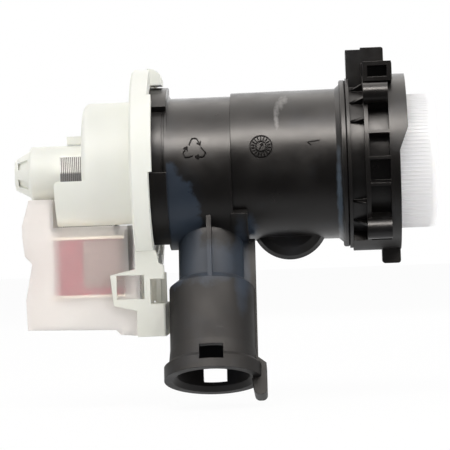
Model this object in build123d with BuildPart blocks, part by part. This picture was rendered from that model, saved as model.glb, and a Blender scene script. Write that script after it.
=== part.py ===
from build123d import *
import os
from math import cos, radians, sin

# Washing machine drain pump with its filter housing, in millimetres.
# The pump axis lies along X. The origin is on that axis, in the plane of the four screw faces of
# the collar. The filter knob is on the +X side, the motor on the -X side, and +Z is up.
# Clock angles are counted about the pump axis from the front (-Y) upwards.

# Shared clearances and allowances
overrun = 1.0
running_clearance = 0.04
fit_clearance = 0.15
loose_clearance = 0.3

# Lengths along the pump axis, from the screw faces towards the motor
collar_length = 17.5
chamber_length = 48.9
barrel_length = 25.8
flange_length = 9.3
ring_overlap = 0.8
ring_depth = 8.5
body_length = 20.4
stack_setback = 8.3
stack_length = 22.0
stack_cover_wall = 1.7

# Bores and outer radii of the wet end
knob_radius = 28.4
knob_clearance = 1.1
chamber_wall = 2.3
chamber_draft = 0.3
bead_height = 3.9
bead_width = 2.7
barrel_radius = 30.1
barrel_wall = 2.5
flange_height = 2.1
spigot_length = 5.4
spigot_wall = 2.4
eye_radius = 12.0
divider_thickness = 2.4
divider_margin = 0.2

# Outlet with its quick-fit socket, tilted forward from straight down
outlet_tilt = 20.0
outlet_setback = 10.4
neck_radius = 13.8
neck_wall = 2.3
shoulder_distance = 52.0
shoulder_length = 3.0
shoulder_step = 0.7
socket_radius = 18.0
socket_wall = 2.8
mouth_distance = 95.0
lip_radius = 20.7
lip_length = 5.6
lip_rise = 1.8
flare_length = 6.0
flare_height = 0.6
mouth_chamfer = 2.0
latch_window_width = 10.0
latch_window_length = 7.0
latch_window_setback = 3.7
scroll_radius = 34.8
scroll_rise = 0.2
scroll_half_angle = 35.0
scroll_overlap = 5.9
rib_thickness = 2.0
rib_height = 19.6
web_reach = 18.8
web_start = 33.2
tab_width = 10.0
tab_length = 8.0
tab_round = 2.2
tab_proud = 1.6
tab_thickness = 6.4
tab_end_thickness = 5.0
tab_wall = 1.9
tab_root = 9.0

# Sump hose inlet, pointing away at the back
inlet_setback = 25.5
inlet_drop = 23.9
inlet_radius = 16.5
inlet_wall = 2.4
inlet_front = 10.0
inlet_stop = 34.0
inlet_reach = 52.0
hose_step = 0.5
hose_chamfer = 1.5
inlet_round = 5.0

# Mounting collar
collar_radius = 37.6
collar_wall = 3.4
weld_ring_width = 1.4
weld_ring_radius = 36.4
rib_ring_width = 1.8
boss_length = 10.3
boss_radius = 4.4
boss_circle_radius = 40.0
boss_count = 4
screw_hole_radius = 2.0
screw_hole_depth = 9.0
rim_length = 4.1
rim_wall = 2.6
rim_floor = 2.0
ear_length = 3.7
ear_angle = 21.0
ear_slope_angle = 6.0
gusset_thickness = 1.3
gusset_count = 3
gusset_pitch = 18.0
gusset_centre = 48.0
axial_rib_thickness = 1.3
axial_rib_count = 3
axial_rib_pitch = 17.0
axial_rib_centre = 1.5
skirt_half_angle = 28.0
lug_height = 11.2
lug_length = 16.1
lug_setback = 0.8
lug_width = 16.0
lug_wall = 2.2
lug_shoulder = 6.4
lug_step = 0.8
lug_round = 1.0
latch_step_height = 4.3
latch_step_reach = 2.6
pocket_length = 8.2
pocket_height = 4.6
pocket_wall = 1.9
pocket_depth = 6.0
pocket_level = 37.8
pocket_front = 22.0
pocket_back = 10.0
foot_length = 7.8
foot_height = 5.8
foot_width = 12.0
foot_reach = 3.8
foot_round = 1.2

# Filter knob, basket and seal
knob_reach = 20.0
knob_round = 3.0
knob_length = 28.0
knob_wall = 3.4
knob_face_depth = 14.1
knob_face_thickness = 2.5
grip_width = 7.0
grip_round = 2.0
grip_setback = 1.0
plug_length = 14.0
plug_step = 1.0
plug_wall = 2.7
seal_diameter = 3.7
seal_setback = 6.0
seal_groove_play = 0.25
basket_length = 33.0
basket_wall = 3.0
basket_bar_width = 2.6
basket_bar_count = 12
basket_ring_width = 3.0
basket_seat = 6.0
grid_thickness = 3.0
grid_bar_width = 2.4
grid_snap = 0.7

# Impeller with its free-turning start coupling
impeller_radius = 22.0
impeller_gap = 3.0
impeller_length = 17.5
impeller_plate = 1.6
blade_count = 6
blade_thickness = 1.8
blade_round = 1.6
hub_radius = 8.6
hub_wall = 1.8
hub_nose = 6.0
hub_cover_thickness = 1.6
stop_angle = 60.0
dog_angle = 60.0
dog_core_radius = 3.2
dog_side_play = 0.4

# Rotor and its bearings
shaft_radius = 2.0
shaft_chamfer = 0.4
shaft_rear_gap = 0.8
shaft_tip = 0.8
magnet_radius = 9.4
magnet_bore_radius = 4.5
carrier_flange_radius = 8.4
carrier_flange = 1.5
washer_radius = 4.2
washer_thickness = 0.9
bearing_radius = 5.0
bearing_length = 5.6
front_bearing_length = 7.0
front_bearing_setback = 4.7
holder_lip = 2.0
holder_flange_radius = 14.0
holder_flange = 1.6
holder_throat = 2.8

# Rotor can with its wet plate and ribbed nose
can_radius = 12.0
can_wall = 1.7
can_length = 52.2
can_end_wall = 2.2
can_round = 1.4
plate_thickness = 2.3
plate_radius = 33.5
nose_length = 6.5
nose_root_radius = 10.2
nose_tip_radius = 6.5
nose_slot_count = 6
nose_slot_width = 3.4
nose_core_radius = 3.4
seal_ring_inner = 28.9
seal_ring_width = 2.4
seal_ring_depth = 1.2

# Motor housing with its locking ring
ring_radius = 43.4
ring_back_slope = 1.0
ring_back_round = 1.8
body_radius = 29.7
body_round = 3.0
body_flat = 22.8
stack_cover_top = 4.0
stack_cover_round = 1.8
ring_pocket_radius = 33.0
ring_pocket_hub = 16.0
ring_pocket_floor = 2.4
ring_lip_reach = 1.6
ring_lip_wall = 4.0
stay_length = 8.0
stay_width = 6.0
stay_height = 3.5
lug_radius = 35.3
lug_depth = 8.1
hook_width = 14.0
hook_gap = 0.9

# Stator with its two coils, in their cover
core_half_width = 17.5
limb_gap = 11.0
pole_top = 6.9
yoke_bottom = 64.0
yoke_height = 9.0
air_gap = 0.3
coil_top = 27.4
coil_height = 25.9
bobbin_wall = 0.9
bobbin_flange = 1.2
bobbin_reach = 4.6
winding_inset = 0.4
limb_clearance = 0.2
cover_wall = 1.5
cover_clearance = 0.6
cover_overhang = 16.3
cover_top = 11.2
cover_neck_rise = 4.2
cover_foot_reach = 4.4
cover_foot_drop = 3.9
cover_foot_slope = 2.1
nub_depth = 2.2
nub_width = 3.2
nub_height = 7.0

# Connector housing with its latch loop
loop_setback = 18.4
loop_length = 16.8
loop_rise = 1.7
loop_height = 15.3
loop_thickness = 2.4
loop_bar = 2.6
loop_slope = 2.4
arm_reach = 4.6
arm_foot_height = 4.4
block_setback = 7.6
block_length = 12.1
block_drop = 13.3
block_height = 13.6
block_depth = 30.0
block_tail = 8.0
block_tail_depth = 8.0
connector_wall = 2.2
connector_depth = 11.0
connector_width = 16.6
recess_wall_depth = 13.0
blade_width = 6.3
blade_stock = 0.8
blade_spacing = 9.4
blade_length = 9.0
blade_tip = 1.6

# Back outline of the coil cover, as shares of its overhang from the back and of its height from the top
cover_back_shares = [
    (0.063, 1.0),
    (0.044, 0.769),
    (0.236, 0.492),
    (0.05, 0.43),
    (0.0, 0.281),
    (0.0, 0.198),
    (0.198, 0.0),
    (0.814, 0.0),
]

# Bayonet lugs of the volute: clock angle where each starts, and how far it runs upwards
lug_starts = [48.0, -64.0, 160.0]
lug_sweeps = [54.0, 61.0, 56.0]
tab_starts = [-2.0, 104.0, 218.0]
tab_sweeps = [48.0, 54.0, 76.0]
hook_angles = [90.0, -90.0]
hook_reaches = [4.8, 2.4]

# Stations worked out from the lengths above
weld_x = -collar_length
seam_x = weld_x - chamber_length
barrel_x = seam_x - barrel_length
back_x = barrel_x - flange_length
plate_x = back_x - plate_thickness
ring_front_x = back_x + ring_overlap
ring_back_x = ring_front_x - ring_depth
body_back_x = ring_back_x - body_length
stack_front_x = ring_back_x - stack_setback
stack_back_x = stack_front_x - stack_length
block_back_x = stack_back_x - stack_cover_wall
can_back_x = back_x - can_length

bore_radius = knob_radius + knob_clearance
chamber_radius = bore_radius + chamber_wall
spigot_radius = bore_radius - fit_clearance
pump_bore_radius = barrel_radius - barrel_wall
outlet_x = seam_x - outlet_setback
neck_bore = neck_radius - neck_wall
socket_bore = socket_radius - socket_wall
divider_x = outlet_x + neck_bore + divider_margin
outlet_down = (0, -sin(radians(outlet_tilt)), -cos(radians(outlet_tilt)))
outlet_front = (0, -cos(radians(outlet_tilt)), sin(radians(outlet_tilt)))
outlet_origin = (outlet_x, 0, 0)
outlet_clock = outlet_tilt - 90


def turned(points, mode=Mode.ADD):
    """Turns an outline of (station, radius) points about the pump axis."""
    with BuildSketch(Plane.XZ) as section:
        with BuildLine():
            Polyline(*points, close=True)
        make_face()
    revolve(section.sketch, axis=Axis.X, mode=mode)


def disc(radius, start, end, mode=Mode.ADD):
    """A round stretch of the pump axis between two stations."""
    with BuildSketch(Plane.YZ.offset(start)) as face:
        Circle(radius)
    extrude(face.sketch, amount=end - start, mode=mode)


def tube(inner, outer, start, end, mode=Mode.ADD):
    """A plain ring about the pump axis between two stations."""
    with BuildSketch(Plane.YZ.offset(start)) as face:
        Circle(outer)
        Circle(inner, mode=Mode.SUBTRACT)
    extrude(face.sketch, amount=end - start, mode=mode)


def sector(inner, outer, start_angle, sweep_angle, start, end, mode=Mode.ADD):
    """A part of a ring, from a clock angle upwards, between two stations."""
    corners = [(0, 0)]
    for quarter in range(5):
        angle = radians(180 - start_angle - sweep_angle * quarter / 4)
        corners.append((2 * outer * cos(angle), 2 * outer * sin(angle)))
    with BuildSketch(Plane.YZ.offset(start)) as face:
        Circle(outer)
        Circle(inner, mode=Mode.SUBTRACT)
        with BuildLine():
            Polyline(*corners, close=True)
        make_face(mode=Mode.INTERSECT)
    extrude(face.sketch, amount=end - start, mode=mode)


def radial_plane(angle):
    """The plane through the pump axis at a clock angle: x along the axis, y outwards."""
    turn = radians(angle)
    return Plane(origin=(0, 0, 0), x_dir=(1, 0, 0), z_dir=(0, -sin(turn), -cos(turn)))


def fin(points, angle, thickness, mode=Mode.ADD):
    """A flat fin of (station, radius) points that stands on the pump axis at a clock angle."""
    with BuildSketch(radial_plane(angle)) as face:
        with BuildLine():
            Polyline(*points, close=True)
        make_face()
    extrude(face.sketch, amount=thickness / 2, both=True, mode=mode)


def block(x_range, y_range, z_range, mode=Mode.ADD):
    """An upright block between two stations, two depths and two levels."""
    with BuildSketch(Plane.XY.offset(z_range[0])) as face:
        with Locations(((x_range[0] + x_range[1]) / 2, (y_range[0] + y_range[1]) / 2)):
            Rectangle(x_range[1] - x_range[0], y_range[1] - y_range[0])
    extrude(face.sketch, amount=z_range[1] - z_range[0], mode=mode)


def side_outline(points, front, back, mode=Mode.ADD):
    """An outline of (station, level) points, drawn from the front, between two depths."""
    with BuildSketch(Plane.XZ.offset(-back)) as face:
        with BuildLine():
            Polyline(*points, close=True)
        make_face()
    extrude(face.sketch, amount=back - front, mode=mode)


# Volute housing: pump barrel, bayonet flange, scroll and outlet with its quick-fit socket
outlet_plane = Plane(origin=outlet_origin, x_dir=(1, 0, 0), z_dir=outlet_down)
outlet_section = Plane(origin=outlet_origin, x_dir=outlet_down, z_dir=outlet_front)
outlet_axis = Axis(outlet_origin, outlet_down)
lip_start = mouth_distance - lip_length
flare_start = lip_start - lip_rise - flare_length
groove_depth = flange_height / 4
flange_top = barrel_radius + flange_height
groove_start = barrel_x - flange_length / 3
groove_end = groove_start + 2 * groove_depth
flange_step_x = barrel_x - flange_height / 2

with BuildPart() as volute_housing:
    turned([
        (back_x, 0),
        (back_x, flange_top),
        (groove_start, flange_top),
        (groove_start, flange_top - groove_depth),
        (groove_end, flange_top - groove_depth),
        (groove_end, flange_top),
        (flange_step_x, flange_top),
        (barrel_x, barrel_radius),
        (barrel_x, spigot_radius),
        (seam_x + spigot_length, spigot_radius),
        (seam_x + spigot_length, 0),
    ])
    for lug_start, lug_sweep in zip(lug_starts, lug_sweeps):
        sector(pump_bore_radius, lug_radius, lug_start, lug_sweep, back_x, back_x + lug_depth)
    scroll_start = outlet_clock - scroll_half_angle
    scroll_end_x = seam_x + scroll_overlap
    # The barrel is round about an axis that is shifted towards the outlet
    scroll_shift = (scroll_radius - barrel_radius - scroll_rise) / 2
    scroll_y = scroll_shift * outlet_down[1]
    scroll_z = scroll_shift * outlet_down[2]
    with BuildSketch(Plane.YZ.offset(barrel_x - flange_height)):
        with Locations((scroll_y, scroll_z)):
            Circle(scroll_radius - scroll_shift)
    extrude(amount=seam_x - barrel_x + flange_height)
    sector(
        chamber_radius + fit_clearance,
        scroll_radius,
        scroll_start,
        2 * scroll_half_angle,
        seam_x - overrun,
        scroll_end_x,
    )
    with BuildSketch(outlet_section) as outlet_outside:
        with BuildLine():
            Polyline(
                (pump_bore_radius, 0),
                (pump_bore_radius, neck_radius),
                (shoulder_distance, neck_radius),
                (shoulder_distance, neck_radius + shoulder_step),
                (shoulder_distance + shoulder_length, socket_radius),
                (flare_start, socket_radius),
                (lip_start - lip_rise, socket_radius + flare_height),
                (lip_start, lip_radius),
                (mouth_distance, lip_radius),
                (mouth_distance, 0),
                close=True,
            )
        make_face()
    revolve(axis=outlet_axis)
    # The chamber wall passes between the spigot and the scroll, so the neck is cleared there
    tube(
        spigot_radius,
        chamber_radius + fit_clearance,
        seam_x,
        scroll_end_x + overrun,
        mode=Mode.SUBTRACT,
    )
    with BuildSketch(outlet_section) as side_web:
        with BuildLine():
            Polyline(
                (web_start, neck_bore),
                (web_start, web_reach),
                (lip_start, web_reach),
                (lip_start, neck_bore),
                close=True,
            )
        make_face()
    extrude(amount=rib_thickness / 2, both=True)
    rib_plane = Plane(origin=outlet_origin, x_dir=outlet_down, z_dir=(-1, 0, 0))
    with BuildSketch(rib_plane) as front_rib:
        with BuildLine():
            Polyline(
                (pump_bore_radius - barrel_wall, neck_bore),
                (pump_bore_radius - barrel_wall, rib_height),
                (shoulder_distance + shoulder_length, socket_radius - shoulder_step),
                (shoulder_distance + shoulder_length, neck_bore),
                close=True,
            )
        make_face()
    extrude(amount=rib_thickness / 2, both=True)
    # Release tab beside the mouth, with its channel facing the mouth
    tab_outer = lip_radius + tab_proud
    tab_end = mouth_distance + tab_length
    with BuildSketch(outlet_section) as release_tab:
        with BuildLine():
            Polyline(
                (mouth_distance - tab_root, socket_radius),
                (mouth_distance - lip_length, tab_outer),
                (tab_end, tab_outer),
                (tab_end, tab_outer - tab_end_thickness),
                (mouth_distance, tab_outer - tab_thickness),
                (mouth_distance - tab_root, socket_radius - socket_wall / 2),
                close=True,
            )
        make_face()
        fillet(release_tab.vertices().sort_by(Axis.X)[-2:], radius=tab_round)
    extrude(amount=tab_width / 2, both=True)
    with BuildSketch(outlet_section) as tab_channel:
        with BuildLine():
            Polyline(
                (mouth_distance, 0),
                (mouth_distance, tab_outer - tab_wall),
                (tab_end - tab_wall, tab_outer - tab_wall),
                (tab_end - tab_wall, 0),
                close=True,
            )
        make_face()
    extrude(amount=tab_width / 2 - tab_wall, both=True, mode=Mode.SUBTRACT)
    # Waterways: pump bore, eye of the pump and the outlet
    disc(pump_bore_radius, back_x - overrun, divider_x, mode=Mode.SUBTRACT)
    disc(eye_radius, divider_x - overrun, seam_x + spigot_length + overrun, mode=Mode.SUBTRACT)
    disc(
        spigot_radius - spigot_wall,
        divider_x + divider_thickness,
        seam_x + spigot_length + overrun,
        mode=Mode.SUBTRACT,
    )
    with BuildSketch(outlet_section) as outlet_inside:
        with BuildLine():
            Polyline(
                (pump_bore_radius - barrel_wall, 0),
                (pump_bore_radius - barrel_wall, neck_bore),
                (shoulder_distance + shoulder_length, neck_bore),
                (shoulder_distance + 2 * shoulder_length, socket_bore),
                (mouth_distance - mouth_chamfer, socket_bore),
                (mouth_distance, socket_bore + mouth_chamfer),
                (mouth_distance + overrun, socket_bore + mouth_chamfer),
                (mouth_distance + overrun, 0),
                close=True,
            )
        make_face()
    revolve(axis=outlet_axis, mode=Mode.SUBTRACT)
    # One latch window at the front of the socket and one at the back
    window_distance = mouth_distance - latch_window_setback - latch_window_length
    with BuildSketch(outlet_plane.offset(window_distance)):
        Rectangle(latch_window_width, 2 * (lip_radius + overrun))
    extrude(amount=latch_window_length, mode=Mode.SUBTRACT)
volute_housing.part.label = "volute_housing"

# Filter chamber: drum with its weld bead and the sump hose inlet at the back
inlet_x = weld_x - inlet_setback
inlet_origin = (inlet_x, 0, -inlet_drop)
inlet_section = Plane(origin=inlet_origin, x_dir=(0, 1, 0), z_dir=(0, 0, -1))
inlet_axis = Axis(inlet_origin, (0, 1, 0))
bead_x = weld_x - bead_width
bead_radius = chamber_radius + bead_height
hose_radius = inlet_radius - hose_step

with BuildPart() as filter_chamber:
    turned([
        (seam_x, 0),
        (seam_x, chamber_radius),
        (bead_x - bead_height / 2, chamber_radius + chamber_draft),
        (bead_x, chamber_radius + bead_height / 2),
        (bead_x, bead_radius),
        (weld_x, bead_radius),
        (weld_x, 0),
    ])
    bead_edges = filter_chamber.edges().filter_by(GeomType.CIRCLE).group_by(SortBy.RADIUS)[-1]
    fillet(bead_edges, radius=bead_width / 3)
    with BuildSketch(inlet_section) as inlet_outside:
        with BuildLine():
            Polyline(
                (-inlet_front, 0),
                (-inlet_front, inlet_radius - inlet_round),
                (-inlet_front + inlet_round / 3, inlet_radius - inlet_round / 3),
                (-inlet_front + inlet_round, inlet_radius),
                (inlet_stop, inlet_radius),
                (inlet_stop, hose_radius),
                (inlet_reach - hose_chamfer, hose_radius),
                (inlet_reach, hose_radius - hose_chamfer / 2),
                (inlet_reach, 0),
                close=True,
            )
        make_face()
    revolve(axis=inlet_axis)
    disc(bore_radius, seam_x - overrun, weld_x + overrun, mode=Mode.SUBTRACT)
    with BuildSketch(inlet_section) as inlet_inside:
        with BuildLine():
            Polyline(
                (-inlet_front + inlet_wall, 0),
                (-inlet_front + inlet_wall, inlet_radius - inlet_round),
                (-inlet_front + inlet_round, inlet_radius - inlet_wall),
                (inlet_reach + overrun, inlet_radius - inlet_wall),
                (inlet_reach + overrun, 0),
                close=True,
            )
        make_face()
    revolve(axis=inlet_axis, mode=Mode.SUBTRACT)
filter_chamber.part.label = "filter_chamber"

# Filter collar: ribbed mounting ring with screw bosses, panel lug, latch pocket and foot
core_radius = bore_radius + collar_wall
rib_ring_x = -boss_length
rib_ring_end_x = rib_ring_x + rib_ring_width
ring_wall_x = weld_x + weld_ring_width
ear_x = rim_length + ear_length
rim_inner = collar_radius - rim_wall
lug_base = core_radius - collar_wall / 2
lug_top = collar_radius + lug_height
lug_right = -lug_setback
lug_left = lug_right - lug_length

with BuildPart() as filter_collar:
    disc(core_radius, weld_x, rim_length)
    disc(weld_ring_radius, weld_x, ring_wall_x)
    disc(collar_radius, rib_ring_x, rib_ring_end_x)
    disc(collar_radius, 0, rim_length)
    sector(
        core_radius - collar_wall,
        collar_radius,
        -90 - skirt_half_angle,
        2 * skirt_half_angle,
        ring_wall_x,
        0,
    )
    # The ear carries on over the top, and its ends slope back to the rim
    sector(
        rim_inner,
        collar_radius,
        ear_slope_angle,
        180 - 2 * ear_slope_angle,
        rim_length - overrun,
        ear_x,
    )
    for mirrored in (1, -1):
        ear_depth = mirrored * collar_radius
        slope_low = collar_radius * sin(radians(ear_slope_angle))
        slope_high = collar_radius * sin(radians(ear_angle))
        side_outline(
            [
                (rim_length, slope_low - overrun),
                (ear_x + overrun, slope_low - overrun),
                (ear_x + overrun, slope_high),
                (ear_x, slope_high),
                (rim_length, slope_low),
            ],
            min(0, 2 * ear_depth),
            max(0, 2 * ear_depth),
            mode=Mode.SUBTRACT,
        )
    gusset_root = core_radius - collar_wall / 2
    for side_centre in (gusset_centre, -gusset_centre, 180 - gusset_centre, 180 + gusset_centre):
        for step in range(gusset_count):
            gusset_angle = side_centre + (step - (gusset_count - 1) / 2) * gusset_pitch
            fin(
                [
                    (ring_wall_x, gusset_root),
                    (ring_wall_x, core_radius),
                    (rib_ring_x, collar_radius - axial_rib_thickness),
                    (rib_ring_x + overrun, gusset_root),
                ],
                gusset_angle,
                gusset_thickness,
            )
    for side_centre in (axial_rib_centre, 180 - axial_rib_centre):
        for step in range(axial_rib_count):
            rib_angle = side_centre + (step - (axial_rib_count - 1) / 2) * axial_rib_pitch
            fin(
                [
                    (rib_ring_x, gusset_root),
                    (rib_ring_x, collar_radius),
                    (0, collar_radius),
                    (0, gusset_root),
                ],
                rib_angle,
                axial_rib_thickness,
            )
    # Screw bosses, tied to the core by a web each
    for corner in range(boss_count):
        boss_angle = 180 / boss_count + corner * 360 / boss_count
        boss_y = -boss_circle_radius * cos(radians(boss_angle))
        boss_z = boss_circle_radius * sin(radians(boss_angle))
        with BuildSketch(Plane.YZ.offset(-boss_length)) as boss_face:
            with Locations((boss_y, boss_z)):
                Circle(boss_radius)
        extrude(amount=boss_length)
        fin(
            [
                (-boss_length, gusset_root),
                (-boss_length, boss_circle_radius),
                (0, boss_circle_radius),
                (0, gusset_root),
            ],
            boss_angle,
            boss_radius,
        )
    # Panel lug on top, its shoulder one step lower at the motor end
    block(
        (lug_left, lug_right),
        (-lug_width / 2, lug_width / 2),
        (lug_base, lug_top - lug_step),
    )
    block(
        (lug_left + lug_shoulder, lug_right),
        (-lug_width / 2, lug_width / 2),
        (lug_base, lug_top),
    )
    lug_edge = filter_collar.edges().filter_by(Axis.Y).group_by(Axis.Z)[-1].sort_by(Axis.X)[-1]
    fillet(lug_edge, radius=lug_round)
    block(
        (lug_left + lug_shoulder, latch_step_reach),
        (-lug_width / 2 - pocket_wall, lug_width / 2 + pocket_wall),
        (lug_base, collar_radius + latch_step_height),
    )
    # Latch pocket at the upper front, open to the front
    pocket_right = lug_right + pocket_wall / 2
    pocket_left = pocket_right - pocket_length
    block(
        (pocket_left - pocket_wall, pocket_right + pocket_wall),
        (-pocket_front, -pocket_back),
        (pocket_level - pocket_height / 2 - pocket_wall, pocket_level + pocket_height / 2 + pocket_wall),
    )
    block(
        (pocket_left, pocket_right),
        (-pocket_front - overrun, -pocket_front + pocket_depth),
        (pocket_level - pocket_height / 2, pocket_level + pocket_height / 2),
        mode=Mode.SUBTRACT,
    )
    # Foot below, flush with the end of the rim
    block(
        (foot_reach - foot_length, foot_reach),
        (-foot_width / 2, foot_width / 2),
        (-collar_radius - foot_height, -core_radius),
    )
    foot_edges = filter_collar.edges().filter_by(Axis.Y).group_by(Axis.Z)[0]
    fillet(foot_edges, radius=foot_round)
    # Slot of the lug, open towards the panel
    block(
        (lug_left + lug_wall, lug_right + overrun),
        (-lug_width / 2 + lug_wall, lug_width / 2 - lug_wall),
        (collar_radius + latch_step_height, lug_top - lug_wall),
        mode=Mode.SUBTRACT,
    )
    disc(bore_radius, weld_x - overrun, ear_x + overrun, mode=Mode.SUBTRACT)
    disc(rim_inner, rim_floor, ear_x + overrun, mode=Mode.SUBTRACT)
    for corner in range(boss_count):
        boss_angle = 180 / boss_count + corner * 360 / boss_count
        boss_y = -boss_circle_radius * cos(radians(boss_angle))
        boss_z = boss_circle_radius * sin(radians(boss_angle))
        with BuildSketch(Plane.YZ) as screw_face:
            with Locations((boss_y, boss_z)):
                Circle(screw_hole_radius)
        extrude(amount=-screw_hole_depth, mode=Mode.SUBTRACT)
filter_collar.part.label = "filter_collar"

# Filter cap: ribbed knob with a grip bar, and the plug that carries the seal and the basket
knob_back_x = knob_reach - knob_length
plug_radius = knob_radius - plug_step
plug_back_x = knob_back_x - plug_length
knob_face_x = knob_reach - knob_face_depth
seal_x = knob_back_x - seal_setback
seal_outer = bore_radius - running_clearance
seal_inner = seal_outer - seal_diameter
groove_half = seal_diameter / 2 + seal_groove_play

with BuildPart() as filter_cap:
    disc(knob_radius, knob_back_x, knob_reach)
    knob_edge = filter_cap.edges().filter_by(GeomType.CIRCLE).sort_by(Axis.X)[-1]
    fillet(knob_edge, radius=knob_round)
    disc(plug_radius, plug_back_x, knob_back_x + overrun)
    plug_edge = filter_cap.edges().filter_by(GeomType.CIRCLE).sort_by(Axis.X)[0]
    chamfer(plug_edge, length=plug_step)
    tube(
        seal_inner - running_clearance,
        plug_radius + overrun,
        seal_x - groove_half,
        seal_x + groove_half,
        mode=Mode.SUBTRACT,
    )
    disc(knob_radius - knob_wall, knob_face_x, knob_reach + overrun, mode=Mode.SUBTRACT)
    disc(
        plug_radius - plug_wall - plug_step,
        plug_back_x - overrun,
        knob_face_x - knob_face_thickness,
        mode=Mode.SUBTRACT,
    )
    grip_start = knob_face_x - knob_face_thickness / 2
    grip_half_length = knob_radius - knob_wall / 2
    block(
        (grip_start, knob_reach - grip_setback),
        (-grip_half_length, grip_half_length),
        (-grip_width / 2, grip_width / 2),
    )
    grip_edges = filter_cap.edges().filter_by(Axis.Y).group_by(Axis.X)[-1]
    fillet(grip_edges, radius=grip_round)
filter_cap.part.label = "filter_cap"

# Seal ring in the groove of the plug
seal_centre_radius = seal_inner + seal_diameter / 2
with BuildPart() as filter_seal:
    with BuildSketch(Plane.XZ) as seal_section:
        with Locations((seal_x, seal_centre_radius)):
            Circle(seal_diameter / 2)
    revolve(axis=Axis.X)
filter_seal.part.label = "filter_seal"

# Filter basket: a comb of bars between rings, plugged into the back of the cap
basket_outer = plug_radius - plug_wall - plug_step - fit_clearance
basket_inner = basket_outer - basket_wall
basket_end_x = plug_back_x - basket_length
with BuildPart() as filter_basket:
    tube(basket_inner, basket_outer, plug_back_x - basket_ring_width, plug_back_x + basket_seat)
    basket_middle_x = (plug_back_x + basket_end_x) / 2
    tube(basket_inner, basket_outer, basket_middle_x, basket_middle_x + basket_ring_width)
    tube(basket_inner, basket_outer, basket_end_x, basket_end_x + basket_ring_width)
    tube(
        basket_outer - grid_snap,
        basket_outer + overrun,
        basket_end_x - overrun,
        basket_end_x + grid_snap,
        mode=Mode.SUBTRACT,
    )
    for bar in range(basket_bar_count):
        fin(
            [
                (basket_end_x, basket_inner),
                (basket_end_x, basket_outer - basket_wall / 4),
                (plug_back_x, basket_outer - basket_wall / 4),
                (plug_back_x, basket_inner),
            ],
            bar * 360 / basket_bar_count,
            basket_bar_width,
        )
filter_basket.part.label = "filter_basket"

# End grid, snapped over the basket: its cross stops coins and buttons at the eye of the pump
grid_x = basket_end_x - grid_thickness
with BuildPart() as basket_grid:
    tube(basket_inner, basket_outer, grid_x, basket_end_x)
    tube(basket_outer - grid_snap, basket_outer, basket_end_x - overrun, basket_end_x + grid_snap)
    for bar_angle in (45, 135):
        fin(
            [
                (grid_x, -basket_inner - basket_wall / 4),
                (grid_x, basket_inner + basket_wall / 4),
                (basket_end_x - grid_thickness / 4, basket_inner + basket_wall / 4),
                (basket_end_x - grid_thickness / 4, -basket_inner - basket_wall / 4),
            ],
            bar_angle,
            grid_bar_width,
        )
basket_grid.part.label = "basket_grid"

# Impeller: open blades on a plate, with a stop inside its hub
impeller_x = back_x + impeller_gap
impeller_end_x = impeller_x + impeller_length
hub_inner = hub_radius - hub_wall
hub_floor_x = impeller_end_x - hub_nose
hub_mouth_x = impeller_x + hub_cover_thickness
shaft_tip_x = hub_floor_x + hub_nose - shaft_tip
with BuildPart() as impeller:
    disc(hub_radius, impeller_x, impeller_end_x)
    nose_edge = impeller.edges().filter_by(GeomType.CIRCLE).sort_by(Axis.X)[-1]
    fillet(nose_edge, radius=hub_wall)
    disc(impeller_radius, impeller_x, impeller_x + impeller_plate)
    blade_root = hub_radius - hub_wall / 2
    blade_top = impeller_end_x - impeller_plate
    for blade in range(blade_count):
        fin(
            [
                (impeller_x, blade_root),
                (impeller_x, impeller_radius),
                (blade_top - 2 * blade_round, impeller_radius),
                (blade_top - blade_round / 2, impeller_radius - blade_round / 2),
                (blade_top, impeller_radius - 2 * blade_round),
                (blade_top, blade_root),
            ],
            blade * 360 / blade_count,
            blade_thickness,
        )
    disc(hub_inner, impeller_x - overrun, hub_floor_x, mode=Mode.SUBTRACT)
    stop_start = -stop_angle / 2
    sector(
        dog_core_radius + running_clearance,
        hub_inner + hub_wall / 2,
        stop_start,
        stop_angle,
        hub_mouth_x,
        hub_floor_x + overrun,
    )
    disc(
        shaft_radius + running_clearance,
        hub_floor_x - overrun,
        impeller_end_x + overrun,
        mode=Mode.SUBTRACT,
    )
impeller.part.label = "impeller"

# Cover that closes the hub behind the coupling
with BuildPart() as hub_cover:
    tube(shaft_radius + running_clearance, hub_inner, impeller_x, hub_mouth_x)
hub_cover.part.label = "hub_cover"

# Driving dog on the shaft, half a turn from the stop of the hub
dog_start_x = hub_mouth_x + dog_side_play
dog_end_x = hub_floor_x - dog_side_play
with BuildPart() as drive_dog:
    disc(dog_core_radius, dog_start_x, dog_end_x)
    sector(
        shaft_radius,
        hub_inner - fit_clearance,
        180 - dog_angle / 2,
        dog_angle,
        dog_start_x,
        dog_end_x,
    )
    disc(shaft_radius, dog_start_x - overrun, dog_end_x + overrun, mode=Mode.SUBTRACT)
drive_dog.part.label = "drive_dog"

# Rotor: shaft, carrier with end flanges, ring magnet and thrust washer
can_floor_x = can_back_x + can_end_wall
shaft_back_x = can_floor_x + shaft_rear_gap
rear_bearing_end_x = can_floor_x + bearing_length
washer_end_x = rear_bearing_end_x + loose_clearance + washer_thickness
carrier_x = washer_end_x
magnet_x = carrier_x + carrier_flange
front_bearing_end_x = back_x - front_bearing_setback
front_bearing_x = front_bearing_end_x - front_bearing_length
holder_start_x = front_bearing_x - holder_lip
carrier_end_x = holder_start_x - loose_clearance
magnet_end_x = carrier_end_x - carrier_flange

with BuildPart() as rotor_shaft:
    disc(shaft_radius, shaft_back_x, shaft_tip_x)
    shaft_ends = rotor_shaft.edges().filter_by(GeomType.CIRCLE)
    chamfer(shaft_ends, length=shaft_chamfer)
rotor_shaft.part.label = "rotor_shaft"

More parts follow.
